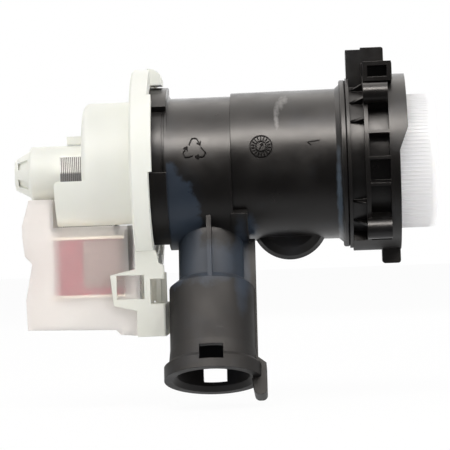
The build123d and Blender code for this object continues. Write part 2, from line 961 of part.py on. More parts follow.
with BuildPart() as rotor_carrier:
    disc(magnet_bore_radius, carrier_x, carrier_end_x)
    disc(carrier_flange_radius, carrier_x, magnet_x)
    disc(carrier_flange_radius, magnet_end_x, carrier_end_x)
    disc(shaft_radius, carrier_x - overrun, carrier_end_x + overrun, mode=Mode.SUBTRACT)
rotor_carrier.part.label = "rotor_carrier"

with BuildPart() as rotor_magnet:
    tube(magnet_bore_radius, magnet_radius, magnet_x, magnet_end_x)
    magnet_edges = rotor_magnet.edges().filter_by(GeomType.CIRCLE).group_by(SortBy.RADIUS)[-1]
    chamfer(magnet_edges, length=shaft_chamfer)
rotor_magnet.part.label = "rotor_magnet"

with BuildPart() as thrust_washer:
    tube(shaft_radius, washer_radius, carrier_x - washer_thickness, carrier_x)
thrust_washer.part.label = "thrust_washer"

# Rotor can: thin tube with the wet plate at the pump end and the ribbed nose at the back
can_inner = can_radius - can_wall
nose_x = can_back_x - nose_length
with BuildPart() as rotor_can:
    disc(can_radius, can_back_x, back_x)
    can_edge = rotor_can.edges().filter_by(GeomType.CIRCLE).sort_by(Axis.X)[0]
    fillet(can_edge, radius=can_round)
    disc(plate_radius, plate_x, back_x)
    turned([
        (nose_x, 0),
        (nose_x, nose_tip_radius),
        (can_back_x, nose_root_radius),
        (can_back_x + can_round / 2, nose_root_radius),
        (can_back_x + can_round / 2, 0),
    ])
    for slot in range(nose_slot_count):
        slot_angle = (slot + 1 / 2) * 360 / nose_slot_count
        fin(
            [
                (nose_x + nose_length / 4, nose_core_radius),
                (nose_x + nose_length / 4, can_radius),
                (can_back_x - can_round / 2, can_radius),
                (can_back_x - can_round / 2, nose_core_radius),
            ],
            slot_angle,
            nose_slot_width,
            mode=Mode.SUBTRACT,
        )
    disc(can_inner, can_floor_x, back_x + overrun, mode=Mode.SUBTRACT)
    tube(
        seal_ring_inner,
        seal_ring_inner + seal_ring_width,
        back_x - seal_ring_depth,
        back_x + overrun,
        mode=Mode.SUBTRACT,
    )
rotor_can.part.label = "rotor_can"

with BuildPart() as wet_plate_seal:
    tube(
        seal_ring_inner,
        seal_ring_inner + seal_ring_width,
        back_x - seal_ring_depth,
        back_x,
    )
wet_plate_seal.part.label = "wet_plate_seal"

# Bearings: the rear one in a rubber ring, the front one in a flanged holder
with BuildPart() as rear_bearing_mount:
    tube(bearing_radius, can_inner, can_floor_x, rear_bearing_end_x)
rear_bearing_mount.part.label = "rear_bearing_mount"

with BuildPart() as rear_bearing:
    tube(shaft_radius + running_clearance, bearing_radius, can_floor_x, rear_bearing_end_x)
rear_bearing.part.label = "rear_bearing"

with BuildPart() as bearing_holder:
    disc(can_inner, holder_start_x, back_x)
    disc(holder_flange_radius, back_x, back_x + holder_flange)
    disc(holder_throat, holder_start_x - overrun, back_x + holder_flange + overrun, mode=Mode.SUBTRACT)
    disc(bearing_radius, front_bearing_x, back_x + holder_flange + overrun, mode=Mode.SUBTRACT)
bearing_holder.part.label = "bearing_holder"

with BuildPart() as front_bearing:
    tube(shaft_radius + running_clearance, bearing_radius, front_bearing_x, front_bearing_end_x)
front_bearing.part.label = "front_bearing"

# Motor housing: locking ring with its hooks, drum over the stator, lower stack cover
stack_half_width = core_half_width + loose_clearance
ring_bore_radius = lug_radius + loose_clearance
body_front_x = ring_back_x + ring_back_slope / 4
with BuildPart() as motor_housing:
    disc(body_radius, body_back_x, body_front_x)
    drum_edge = motor_housing.edges().filter_by(GeomType.CIRCLE).sort_by(Axis.X)[0]
    fillet(drum_edge, radius=body_round)
    block(
        (block_back_x, body_back_x + 2 * body_round),
        (-body_radius, body_radius),
        (-body_flat - overrun, -stack_cover_top),
    )
    block_edges = motor_housing.edges().filter_by(Axis.Y).group_by(Axis.X)[0]
    fillet(block_edges, radius=stack_cover_round)
    tube(
        body_radius,
        2 * body_radius,
        block_back_x - overrun,
        body_front_x,
        mode=Mode.SUBTRACT,
    )
    block(
        (block_back_x - overrun, body_front_x),
        (-body_radius - overrun, body_radius + overrun),
        (-body_radius - overrun, -body_flat),
        mode=Mode.SUBTRACT,
    )
    turned([
        (ring_back_x, 0),
        (ring_back_x, body_radius),
        (ring_back_x + ring_back_slope, ring_radius - ring_back_round / 2),
        (ring_back_x + ring_back_slope + ring_back_round / 2, ring_radius),
        (ring_front_x, ring_radius),
        (ring_front_x, 0),
    ])
    for tab_start, tab_sweep in zip(tab_starts, tab_sweeps):
        sector(
            ring_radius - ring_lip_wall,
            ring_radius,
            tab_start,
            tab_sweep,
            ring_front_x - overrun,
            ring_front_x + ring_lip_reach,
        )
    # Hooks that lock over the bayonet lugs
    hook_inner = lug_radius + hook_gap
    for hook_angle, hook_reach in zip(hook_angles, hook_reaches):
        fin(
            [
                (ring_front_x - overrun, hook_inner),
                (ring_front_x - overrun, ring_radius),
                (ring_front_x, ring_radius),
                (ring_front_x + hook_reach / 3, ring_radius - hook_gap / 3),
                (ring_front_x + 2 * hook_reach / 3, ring_radius - 3 * hook_gap / 2),
                (ring_front_x + 9 * hook_reach / 10, ring_radius - 3 * hook_gap),
                (ring_front_x + hook_reach, ring_radius - 5 * hook_gap),
                (ring_front_x + hook_reach, hook_inner),
            ],
            hook_angle,
            hook_width,
        )
    # Stay above the can
    block(
        (body_back_x - stay_length, body_back_x + body_round),
        (-stay_width / 2, stay_width / 2),
        (can_radius + loose_clearance, can_radius + loose_clearance + stay_height),
    )
    disc(ring_bore_radius, plate_x, ring_front_x + overrun, mode=Mode.SUBTRACT)
    tube(
        ring_pocket_hub,
        ring_pocket_radius,
        ring_back_x + ring_pocket_floor,
        ring_front_x,
        mode=Mode.SUBTRACT,
    )
    disc(
        can_radius + fit_clearance,
        block_back_x - overrun,
        ring_front_x,
        mode=Mode.SUBTRACT,
    )
    block(
        (stack_back_x - loose_clearance, stack_front_x + loose_clearance),
        (-stack_half_width, stack_half_width),
        (-body_flat - overrun, pole_top + loose_clearance),
        mode=Mode.SUBTRACT,
    )
motor_housing.part.label = "motor_housing"

# Stator core: U-shaped stack with its two limbs beside the can
with BuildPart() as stator_core:
    with BuildSketch(Plane.YZ.offset(stack_back_x)) as core_face:
        with Locations((0, (pole_top - yoke_bottom) / 2)):
            Rectangle(2 * core_half_width, pole_top + yoke_bottom)
        with Locations((0, (pole_top + overrun - yoke_bottom + yoke_height) / 2)):
            Rectangle(limb_gap, pole_top + overrun + yoke_bottom - yoke_height, mode=Mode.SUBTRACT)
        Circle(can_radius + air_gap, mode=Mode.SUBTRACT)
    extrude(amount=stack_length)
stator_core.part.label = "stator_core"

# Coils: one bobbin and one winding on each limb
limb_width = core_half_width - limb_gap / 2
limb_centre = limb_gap / 2 + limb_width / 2
stack_centre_x = (stack_front_x + stack_back_x) / 2
coil_level = -coil_top - coil_height
coils = {}
for side_name, side in (("front", -1), ("rear", 1)):
    limb_plane = Plane(origin=(stack_centre_x, side * limb_centre, coil_level))
    hole_length = stack_length + 2 * limb_clearance
    hole_width = limb_width + 2 * limb_clearance
    sleeve_length = hole_length + 2 * bobbin_wall
    sleeve_width = hole_width + 2 * bobbin_wall
    flange_long = stack_length + 2 * bobbin_reach
    flange_wide = limb_width + 2 * bobbin_reach
    wound_height = coil_height - 2 * bobbin_flange
    with BuildPart() as bobbin:
        with BuildSketch(limb_plane):
            Rectangle(flange_long, flange_wide)
        extrude(amount=bobbin_flange)
        with BuildSketch(limb_plane.offset(coil_height - bobbin_flange)):
            Rectangle(flange_long, flange_wide)
        extrude(amount=bobbin_flange)
        with BuildSketch(limb_plane):
            Rectangle(sleeve_length, sleeve_width)
        extrude(amount=coil_height)
        with BuildSketch(limb_plane):
            Rectangle(hole_length, hole_width)
        extrude(amount=coil_height, mode=Mode.SUBTRACT)
    with BuildPart() as winding:
        with BuildSketch(limb_plane.offset(bobbin_flange)):
            RectangleRounded(
                flange_long - 2 * winding_inset,
                flange_wide - 2 * winding_inset,
                bobbin_reach - bobbin_wall,
            )
            Rectangle(sleeve_length, sleeve_width, mode=Mode.SUBTRACT)
        extrude(amount=wound_height)
    bobbin.part.label = side_name + "_bobbin"
    winding.part.label = side_name + "_winding"
    coils[bobbin.part.label] = bobbin.part
    coils[winding.part.label] = winding.part

# Coil cover: thin translucent shell around the coils, open above where the limbs pass
loop_x = ring_front_x - loop_setback
loop_top = -ring_radius + loop_rise
block_top = -ring_radius - block_drop
cover_back_x = stack_back_x - cover_overhang
cover_half_depth = limb_centre + limb_width / 2 + bobbin_reach + cover_clearance + cover_wall
cover_neck_front_x = stack_front_x + bobbin_reach + fit_clearance + cover_wall
cover_front_x = cover_neck_front_x + cover_foot_reach
cover_neck_level = -coil_top + cover_neck_rise
cover_step_level = -ring_radius - loose_clearance
cover_floor_level = -yoke_bottom - cover_clearance - cover_wall
cover_foot_level = cover_floor_level - cover_foot_drop
cover_height = -cover_top - cover_floor_level
cover_points = [
    (cover_back_x + share * cover_overhang, -cover_top - fall * cover_height)
    for share, fall in cover_back_shares
]
cover_points += [
    (cover_points[-1][0], cover_neck_level),
    (cover_neck_front_x, cover_neck_level),
    (cover_neck_front_x, cover_step_level),
    (cover_front_x, cover_step_level),
    (cover_front_x, cover_foot_level),
    (stack_front_x + cover_foot_slope, cover_foot_level + cover_foot_slope / 3),
    (stack_front_x, cover_floor_level - cover_foot_slope / 2),
]
with BuildPart() as coil_cover:
    side_outline(cover_points, -cover_half_depth, cover_half_depth)
    with BuildSketch(Plane.XZ.offset(-cover_half_depth + cover_wall)) as cover_inside:
        with BuildLine():
            Polyline(*cover_points, close=True)
        make_face()
        offset(amount=-cover_wall, kind=Kind.INTERSECTION, mode=Mode.REPLACE)
    extrude(amount=2 * (cover_half_depth - cover_wall), mode=Mode.SUBTRACT)
    block(
        (stack_back_x - loose_clearance, stack_front_x + loose_clearance),
        (-stack_half_width, stack_half_width),
        (cover_neck_level - 2 * cover_wall, cover_neck_level + overrun),
        mode=Mode.SUBTRACT,
    )
    # The hood at the back is hollowed round the can, which it stays clear of
    disc(can_radius + loose_clearance, cover_back_x - overrun, stack_front_x, mode=Mode.SUBTRACT)
    # Latch nub inside the loop of the connector housing
    nub_x = loop_x + loop_bar + fit_clearance
    nub_level = loop_top - loop_height / 2
    block(
        (nub_x, nub_x + nub_width),
        (-cover_half_depth - nub_depth, -cover_half_depth + cover_wall / 2),
        (nub_level - nub_height / 2, nub_level + nub_height / 2),
    )
coil_cover.part.label = "coil_cover"

# Connector housing: latch loop over the cover's nub, arm up to the locking ring, plug socket below
loop_rear = -cover_half_depth - fit_clearance
loop_front = loop_rear - loop_thickness
loop_end_x = loop_x + loop_length
loop_bottom = loop_top - loop_height
block_x = ring_front_x - block_setback
block_end_x = block_x + block_length
block_bottom = block_top - block_height
block_rear = loop_front + block_depth
recess_face = loop_front + recess_wall_depth
mouth_x = (cover_front_x + block_end_x) / 2
mouth_y = block_rear - connector_wall - connector_width / 2
mouth_length = block_end_x - cover_front_x - 2 * connector_wall
with BuildPart() as connector_housing:
    side_outline(
        [
            (loop_x, loop_top - loop_slope),
            (block_x, loop_top),
            (block_x, loop_top + loop_height),
            (block_end_x - arm_reach, loop_top + loop_height),
            (block_end_x - arm_reach / 2, loop_top + arm_foot_height / 2),
            (block_end_x, loop_top + arm_foot_height / 4),
            (block_end_x, loop_top - arm_foot_height),
            (loop_end_x, loop_top - arm_foot_height),
            (loop_end_x, loop_bottom),
            (block_x, loop_bottom - loop_slope),
            (loop_x + loop_slope / 2, loop_bottom),
        ],
        loop_front,
        loop_rear,
    )
    block(
        (loop_x + loop_bar, loop_end_x - loop_bar),
        (loop_front - overrun, loop_rear + overrun),
        (loop_bottom + loop_bar, loop_top - loop_bar),
        mode=Mode.SUBTRACT,
    )
    block((block_x, block_end_x), (loop_front, block_rear), (block_bottom, block_top))
    socket_edges = connector_housing.edges().filter_by(Axis.Z).group_by(Axis.X)[-1]
    fillet(socket_edges, radius=connector_wall / 2)
    block(
        (block_end_x - connector_wall, block_end_x + block_tail),
        (block_rear - block_tail_depth, block_rear),
        (block_bottom, block_top),
    )
    # Recessed wall between the socket and the ring, with its stiffening rib
    block(
        (cover_front_x, block_end_x),
        (recess_face, recess_face + connector_wall),
        (block_top - overrun, cover_step_level),
    )
    block(
        (block_end_x - 2 * connector_wall, block_end_x - connector_wall),
        (recess_face - connector_wall, recess_face + overrun),
        (block_top - overrun, cover_step_level),
    )
    # It seats on the rim of the locking ring and on the faces of the coil cover
    disc(ring_radius, ring_back_x - overrun, ring_front_x + ring_lip_reach, mode=Mode.SUBTRACT)
    side_outline(cover_points, -cover_half_depth, cover_half_depth, mode=Mode.SUBTRACT)
    block(
        (mouth_x - mouth_length / 2, mouth_x + mouth_length / 2),
        (mouth_y - connector_width / 2, mouth_y + connector_width / 2),
        (block_bottom - overrun, block_bottom + connector_depth),
        mode=Mode.SUBTRACT,
    )
    for side in (-1, 1):
        blade_y = mouth_y + side * blade_spacing / 2
        block(
            (mouth_x - blade_stock / 2, mouth_x + blade_stock / 2),
            (blade_y - blade_width / 2, blade_y + blade_width / 2),
            (block_bottom + connector_depth - overrun, block_top + overrun),
            mode=Mode.SUBTRACT,
        )
connector_housing.part.label = "connector_housing"

# Two flat blades in the plug socket, pressed into its floor
with BuildPart() as terminal_blades:
    for side in (-1, 1):
        blade_y = mouth_y + side * blade_spacing / 2
        blade_end_level = block_top - blade_length + blade_tip
        block(
            (mouth_x - blade_stock / 2, mouth_x + blade_stock / 2),
            (blade_y - blade_width / 2, blade_y + blade_width / 2),
            (blade_end_level, block_top),
        )
        with BuildSketch(Plane.YZ.offset(mouth_x - blade_stock / 2)):
            with BuildLine():
                Polyline(
                    (blade_y - blade_width / 2, blade_end_level),
                    (blade_y + blade_width / 2, blade_end_level),
                    (blade_y + blade_width / 2 - blade_tip, blade_end_level - blade_tip),
                    (blade_y - blade_width / 2 + blade_tip, blade_end_level - blade_tip),
                    close=True,
                )
            make_face()
        extrude(amount=blade_stock)
terminal_blades.part.label = "terminal_blades"

pieces = [
    volute_housing.part,
    filter_chamber.part,
    filter_collar.part,
    filter_cap.part,
    filter_seal.part,
    filter_basket.part,
    basket_grid.part,
    impeller.part,
    hub_cover.part,
    drive_dog.part,
    rotor_shaft.part,
    rotor_carrier.part,
    rotor_magnet.part,
    thrust_washer.part,
    rotor_can.part,
    wet_plate_seal.part,
    rear_bearing_mount.part,
    rear_bearing.part,
    bearing_holder.part,
    front_bearing.part,
    motor_housing.part,
    stator_core.part,
    coils["front_bobbin"],
    coils["rear_bobbin"],
    coils["front_winding"],
    coils["rear_winding"],
    coil_cover.part,
    connector_housing.part,
    terminal_blades.part,
]
os.makedirs("parts", exist_ok=True)
for piece in pieces:
    export_step(piece, "parts/" + piece.label + ".step")
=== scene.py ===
# %% [markdown]
# A washer drain pump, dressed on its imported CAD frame. The frame brings every rigid part of the
# pump at its real size: this lesson gives each one the finish of its plastic, steel or rubber,
# and adds what repeats, such as the sheets of the stator, the wire rows of the coils and the
# grip ribs of the filter cap. Everything is in metres, with the pump axis along X.

# %% Load the frame
from math import cos, pi, radians, sin, sqrt

import bmesh
import bpy
from mathutils import Matrix, Vector


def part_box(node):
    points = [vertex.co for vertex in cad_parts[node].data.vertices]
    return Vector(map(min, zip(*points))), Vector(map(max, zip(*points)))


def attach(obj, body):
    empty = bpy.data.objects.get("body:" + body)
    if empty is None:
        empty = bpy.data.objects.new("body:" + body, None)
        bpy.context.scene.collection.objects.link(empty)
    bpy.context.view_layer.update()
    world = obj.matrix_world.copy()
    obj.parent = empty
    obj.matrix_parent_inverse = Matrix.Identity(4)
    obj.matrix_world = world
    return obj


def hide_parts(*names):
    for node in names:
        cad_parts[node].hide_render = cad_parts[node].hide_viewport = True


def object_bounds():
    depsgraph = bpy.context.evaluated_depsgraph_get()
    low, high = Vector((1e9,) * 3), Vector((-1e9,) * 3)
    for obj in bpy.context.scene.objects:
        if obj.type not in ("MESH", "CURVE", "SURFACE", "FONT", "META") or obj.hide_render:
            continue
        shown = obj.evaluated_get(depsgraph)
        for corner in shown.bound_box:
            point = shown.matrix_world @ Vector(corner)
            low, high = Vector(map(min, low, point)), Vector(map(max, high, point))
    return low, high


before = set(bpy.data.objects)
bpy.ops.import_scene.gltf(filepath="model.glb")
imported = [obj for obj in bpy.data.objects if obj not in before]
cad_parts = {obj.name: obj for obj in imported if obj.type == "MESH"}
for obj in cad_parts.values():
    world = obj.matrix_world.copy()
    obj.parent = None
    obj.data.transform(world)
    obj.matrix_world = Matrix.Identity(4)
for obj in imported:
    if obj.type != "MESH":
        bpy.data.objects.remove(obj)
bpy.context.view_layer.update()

mm = 0.001

# %% [markdown]
# Plastics, rubber and steel differ in three things that the eye reads first: how much the colour
# drifts over a hand's width, how wide the highlight is, and how fine the grain is. A few small
# helpers make those three from noise on Object coordinates, which stay put on a piece when its
# body moves. A Bevel node rounds the normals at sharp edges, as a moulded edge is never sharp.

# %% Helpers for node materials
def add_node(tree, kind, values=(), **settings):
    """A node of a kind with its settings and its unlinked input values."""
    node = tree.nodes.new(kind)
    for key, value in settings.items():
        setattr(node, key, value)
    for key, value in dict(values).items():
        node.inputs[key].default_value = value
    return node


def start_material(name):
    """A new node material and its Principled shader."""
    material = bpy.data.materials.new(name)
    material.use_nodes = True
    return material, material.node_tree, material.node_tree.nodes["Principled BSDF"]


def object_noise(tree, scale, detail=2.0, rough=0.5, stretch=(1.0, 1.0, 1.0)):
    """Noise on Object coordinates: scale is in features per metre."""
    where = add_node(tree, "ShaderNodeTexCoord")
    fit = add_node(tree, "ShaderNodeMapping", {"Scale": stretch})
    noise = add_node(tree, "ShaderNodeTexNoise",
                     {"Scale": scale, "Detail": detail, "Roughness": rough})
    tree.links.new(where.outputs["Object"], fit.inputs["Vector"])
    tree.links.new(fit.outputs["Vector"], noise.inputs["Vector"])
    return noise.outputs["Fac"]


def spread(tree, value, low, high, to_low, to_high):
    """Maps a stretch of a value on to another stretch, clamped."""
    mapped = add_node(tree, "ShaderNodeMapRange", {1: low, 2: high, 3: to_low, 4: to_high})
    tree.links.new(value, mapped.inputs[0])
    return mapped.outputs[0]


def coordinate(tree, axis, space="Object"):
    """One coordinate of a point, in a space of the Texture Coordinate node."""
    where = add_node(tree, "ShaderNodeTexCoord")
    axes = add_node(tree, "ShaderNodeSeparateXYZ")
    tree.links.new(where.outputs[space], axes.inputs[0])
    return axes.outputs[axis]


def calculate(tree, operation, first, second=0.0):
    """The result of a Math node: the first value is a socket, the second a socket or a number."""
    node = add_node(tree, "ShaderNodeMath", operation=operation)
    tree.links.new(first, node.inputs[0])
    if isinstance(second, float):
        node.inputs[1].default_value = second
    else:
        tree.links.new(second, node.inputs[1])
    return node.outputs[0]


def drift_share(tree, noise):
    """The middle of a noise, as a share from 0 to 1."""
    return spread(tree, noise, 0.35, 0.65, 0.0, 1.0)


def follow_roughness(tree, shader, noise, low, high):
    """Makes the roughness follow a noise between two values."""
    tree.links.new(spread(tree, noise, 0.3, 0.7, low, high), shader.inputs["Roughness"])


def tint(tree, share, first, second):
    """A colour that goes from the first to the second with a share from 0 to 1."""
    mix = add_node(tree, "ShaderNodeMix", data_type="RGBA")
    if isinstance(first, tuple):
        mix.inputs[6].default_value = first
    else:
        tree.links.new(first, mix.inputs[6])
    mix.inputs[7].default_value = second
    tree.links.new(share, mix.inputs[0])
    return mix.outputs[2]


def grain(tree, shader, scale, depth, edge=0.35 * mm, strength=0.35):
    """Fine grain as bump, on normals that are rounded at the edges."""
    rounded = add_node(tree, "ShaderNodeBevel", {"Radius": edge}, samples=4)
    bump = add_node(tree, "ShaderNodeBump", {"Strength": strength, "Distance": depth})
    tree.links.new(object_noise(tree, scale, detail=3.0), bump.inputs["Height"])
    tree.links.new(rounded.outputs["Normal"], bump.inputs["Normal"])
    tree.links.new(bump.outputs["Normal"], shader.inputs["Normal"])


def colour(red, green, blue):
    """A linear colour with full alpha."""
    return (red, green, blue, 1.0)


print("Material helpers are ready")

# %% [markdown]
# The wet end is glass-filled polypropylene, moulded black. Its skin is not even: where the melt
# met a cool wall it dries to a bluish haze with a wavy edge, and handling leaves small pale
# scuffs. A slow noise makes the general haze. A patch is the inside of an ellipsoid whose
# distance is disturbed by noise, which gives one mark at one place with an uneven outline. The
# lower parts of the mould are etched, so the skin is rougher below a given height.

# %% Patches on a surface
edge_fade = 0.3 * mm


def patch(tree, centre, reach, wander, soft, scale, start=-1.0):
    """A share of 1 inside an ellipsoid about a place, 0 outside and before a start along X."""
    where = add_node(tree, "ShaderNodeTexCoord")
    moved = tuple(-c / r for c, r in zip(centre, reach))
    shrunk = tuple(1 / r for r in reach)
    fit = add_node(tree, "ShaderNodeMapping", {"Location": moved, "Scale": shrunk})
    away = add_node(tree, "ShaderNodeVectorMath", operation="LENGTH")
    tree.links.new(where.outputs["Object"], fit.inputs["Vector"])
    tree.links.new(fit.outputs["Vector"], away.inputs[0])
    noise = object_noise(tree, scale, detail=4.0, rough=0.6)
    wave = spread(tree, noise, 0.2, 0.8, -wander, wander)
    distance = calculate(tree, "ADD", away.outputs["Value"], wave)
    inside = spread(tree, distance, 1.0 - soft, 1.0 + soft, 1.0, 0.0)
    beyond = spread(tree, coordinate(tree, "X"), start - edge_fade, start + edge_fade, 0.0, 1.0)
    return calculate(tree, "MULTIPLY", inside, beyond)


print("Patches fade over", edge_fade)

# %% [markdown]
# The recipe for black takes a list of patches, so each black part can have its own marks. Its
# gloss is low, because a drum of this plastic shows a broad grey band and no bright line.

# %% Black moulded polypropylene
neck_root = -24.0 * mm
collar_foot = -31.0 * mm
matt_fade = 4.0 * mm
matt_extra = 0.28
black_gloss = 0.18
mark_gloss = 0.03
black_rough = (0.27, 0.43)
deep_black = colour(0.0050, 0.0043, 0.0041)
flow_haze = colour(0.0085, 0.0092, 0.0115)
pale_streak = colour(0.045, 0.043, 0.042)


def black_moulding(name, patches, matt_start=collar_foot):
    """Satin black with a bluish haze, pale streaks and patches, each a colour and its place."""
    material, tree, shader = start_material(name)
    haze_noise = object_noise(tree, scale=42, detail=3.0, rough=0.6)
    streak_noise = object_noise(tree, scale=130, detail=6.0, rough=0.75, stretch=(0.35, 1.0, 1.6))
    body = tint(tree, spread(tree, haze_noise, 0.52, 0.74, 0.0, 1.0), deep_black, flow_haze)
    body = tint(tree, spread(tree, streak_noise, 0.66, 0.78, 0.0, 0.5), body, pale_streak)
    for shade, place in patches:
        body = tint(tree, patch(tree, *place), body, shade)
    tree.links.new(body, shader.inputs["Base Color"])
    cloud_noise = object_noise(tree, scale=75, detail=4.0, rough=0.6)
    cloud = spread(tree, cloud_noise, 0.3, 0.7, *black_rough)
    height = coordinate(tree, "Z")
    matt = spread(tree, height, matt_start - matt_fade, matt_start, matt_extra, 0.0)
    tree.links.new(calculate(tree, "ADD", cloud, matt), shader.inputs["Roughness"])
    shader.inputs["Specular IOR Level"].default_value = black_gloss
    grain(tree, shader, scale=2600, depth=0.05 * mm)
    return material


# Bluish haze; on the volute front this colour is partly haze and partly painted reflection.
bloom_and_painted_reflection = colour(0.022, 0.031, 0.046)
# A painted highlight: the pale bluish band along the right end of the chamber.
painted_edge_highlight = colour(0.050, 0.068, 0.090)
scuff = colour(0.15, 0.147, 0.144)
near_side = -26.0 * mm
near_depth = 24.0 * mm


def spot(x, z, across, high, *finish):
    """A patch on the near side, placed and sized in mm, then its wander, softness, scale, start."""
    return (x * mm, near_side, z * mm), (across * mm, near_depth, high * mm), *finish


black = black_moulding("black moulding", [])
black_volute = black_moulding("black volute", [
    # partly haze, partly painted reflection: the bluish panel that starts at the flange edge
    (bloom_and_painted_reflection, spot(-96.0, -24.0, 16.0, 27.0, 0.15, 0.05, 170, -93.4 * mm)),
    (bloom_and_painted_reflection, spot(-76.8, -40.0, 13.0, 8.0, 0.30, 0.30, 230)),
    (bloom_and_painted_reflection, spot(-63.6, -42.0, 2.6, 16.0, 0.25, 0.45, 200)),
], neck_root)
black_chamber = black_moulding("black chamber", [
    # painted highlight along the right end of the chamber
    (painted_edge_highlight, spot(-21.4, -16.0, 1.0, 19.0, 0.45, 0.45, 190)),
    (bloom_and_painted_reflection, spot(-60.0, -27.0, 3.4, 5.5, 0.40, 0.35, 260)),
    (scuff, spot(-43.4, 27.4, 0.9, 1.2, 0.60, 0.90, 520)),
    (scuff, spot(-44.9, 26.0, 0.8, 1.8, 0.60, 0.90, 520)),
    (scuff, spot(-46.4, 23.8, 0.6, 2.2, 0.60, 0.90, 520)),
    (scuff, spot(-47.3, 21.0, 0.5, 2.4, 0.60, 0.90, 520)),
    (scuff, spot(-46.8, 18.2, 0.6, 2.0, 0.60, 0.95, 520)),
])
mark_black = black_moulding("black marks", [])
mark_shader = mark_black.node_tree.nodes["Principled BSDF"]
mark_shader.inputs["Specular IOR Level"].default_value = mark_gloss
print("Made", black.name, black_volute.name, black_chamber.name, mark_black.name)

# %% [markdown]
# The motor side is a pale filled polyester, slightly green in the shade. Light enters it a
# little way before it comes back, which softens its shadows, so it gets a thin subsurface layer
# besides the slow drift of its colour.

# %% Cream and white mouldings
pale_gloss = 0.16
shallow_light = 0.12
light_reach = (1.0, 0.9, 0.7)


def pale_moulding(name, first, second, rough, depth):
    """A pale moulding whose colour drifts between two near colours."""
    material, tree, shader = start_material(name)
    drift = drift_share(tree, object_noise(tree, scale=28, detail=3.0))
    tree.links.new(tint(tree, drift, first, second), shader.inputs["Base Color"])
    cloud = object_noise(tree, scale=90, detail=4.0)
    follow_roughness(tree, shader, cloud, rough - 0.05, rough + 0.06)
    shader.inputs["Specular IOR Level"].default_value = pale_gloss
    shader.inputs["Subsurface Weight"].default_value = shallow_light
    shader.inputs["Subsurface Radius"].default_value = light_reach
    shader.inputs["Subsurface Scale"].default_value = depth
    grain(tree, shader, scale=1800, depth=0.04 * mm)
    return material


cream = pale_moulding("cream moulding", colour(0.83, 0.84, 0.775), colour(0.87, 0.875, 0.82),
                      rough=0.55, depth=1.2 * mm)
# The connector housing is the same cream plastic as the motor side; this darker copy is painted
# shade.
painted_shade_cream = pale_moulding("ivory moulding", colour(0.75, 0.755, 0.685), colour(0.79, 0.79, 0.725),
                      rough=0.52, depth=1.5 * mm)
white = pale_moulding("white moulding", colour(0.93, 0.925, 0.93), colour(0.96, 0.955, 0.96),
                      rough=0.45, depth=1.5 * mm)
bobbin_plastic = pale_moulding("bobbin moulding", colour(0.78, 0.72, 0.62),
                               colour(0.84, 0.79, 0.70), rough=0.45, depth=1.0 * mm)
silicone = pale_moulding("pale silicone", colour(0.74, 0.73, 0.68), colour(0.80, 0.79, 0.74),
                         rough=0.50, depth=2.0 * mm)
grey = pale_moulding("grey moulding", colour(0.27, 0.28, 0.29), colour(0.33, 0.34, 0.35),
                     rough=0.46, depth=0.5 * mm)
print("Made", cream.name, painted_shade_cream.name, white.name, bobbin_plastic.name, silicone.name, grey.name)

# %% [markdown]
# The coil cover is unfilled and translucent: the rose coil shows through as a soft shape. A
# frosted sheet scatters light on the way through, so the shader lets most of the light pass
# with a rough transmission, which blurs what lies behind, and keeps a share of milky skin. The
# wall is thicker, and so milkier, at the rear end and at the foot: two ramps give the share of
# light that passes, and the lower one counts.

# %% Frosted cover
thick_end = -145.0 * mm
thin_start = -139.5 * mm
thick_foot = -57.0 * mm
thin_foot = -51.5 * mm
milky = 0.45
clear = 0.87
cover_index = 1.25
cover_alpha = 0.92
cover_rough = (0.50, 0.60)


def frosted_cover():
    """Milky translucent plastic, a little pinker where the noise is low."""
    material, tree, shader = start_material("frosted cover")
    drift = drift_share(tree, object_noise(tree, scale=30, detail=3.0))
    milk = tint(tree, drift, colour(0.93, 0.895, 0.87), colour(0.945, 0.925, 0.90))
    tree.links.new(milk, shader.inputs["Base Color"])
    follow_roughness(tree, shader, object_noise(tree, scale=110, detail=4.0), *cover_rough)
    along = spread(tree, coordinate(tree, "X"), thick_end, thin_start, milky, clear)
    upwards = spread(tree, coordinate(tree, "Z"), thick_foot, thin_foot, milky, clear)
    passing = calculate(tree, "MINIMUM", along, upwards)
    tree.links.new(passing, shader.inputs["Transmission Weight"])
    shader.inputs["IOR"].default_value = cover_index
    shader.inputs["Alpha"].default_value = cover_alpha
    grain(tree, shader, scale=1500, depth=0.03 * mm, edge=0.6 * mm)
    return material


frost = frosted_cover()
print("Made", frost.name)

# %% [markdown]
# Inside are the metals, the magnet, the carbon bearings and the rubber rings. They share one
# recipe as well: a base colour that drifts, streaks along one axis where the part was ground or
# turned, and a roughness that follows the streaks.

# %% Metals, carbon, ferrite and rubber
def streaked(name, first, second, rough, metal, streak, scale=700, depth=0.02 * mm):
    """A finish with streaks: streak is the stretch of the noise along X, Y and Z."""
    material, tree, shader = start_material(name)
    lines = object_noise(tree, scale, detail=4.0, rough=0.6, stretch=streak)
    shade = tint(tree, drift_share(tree, lines), first, second)
    tree.links.new(shade, shader.inputs["Base Color"])
    follow_roughness(tree, shader, lines, rough - 0.07, rough + 0.07)
    shader.inputs["Metallic"].default_value = metal
    grain(tree, shader, scale, depth, edge=0.2 * mm, strength=0.25)
    return material


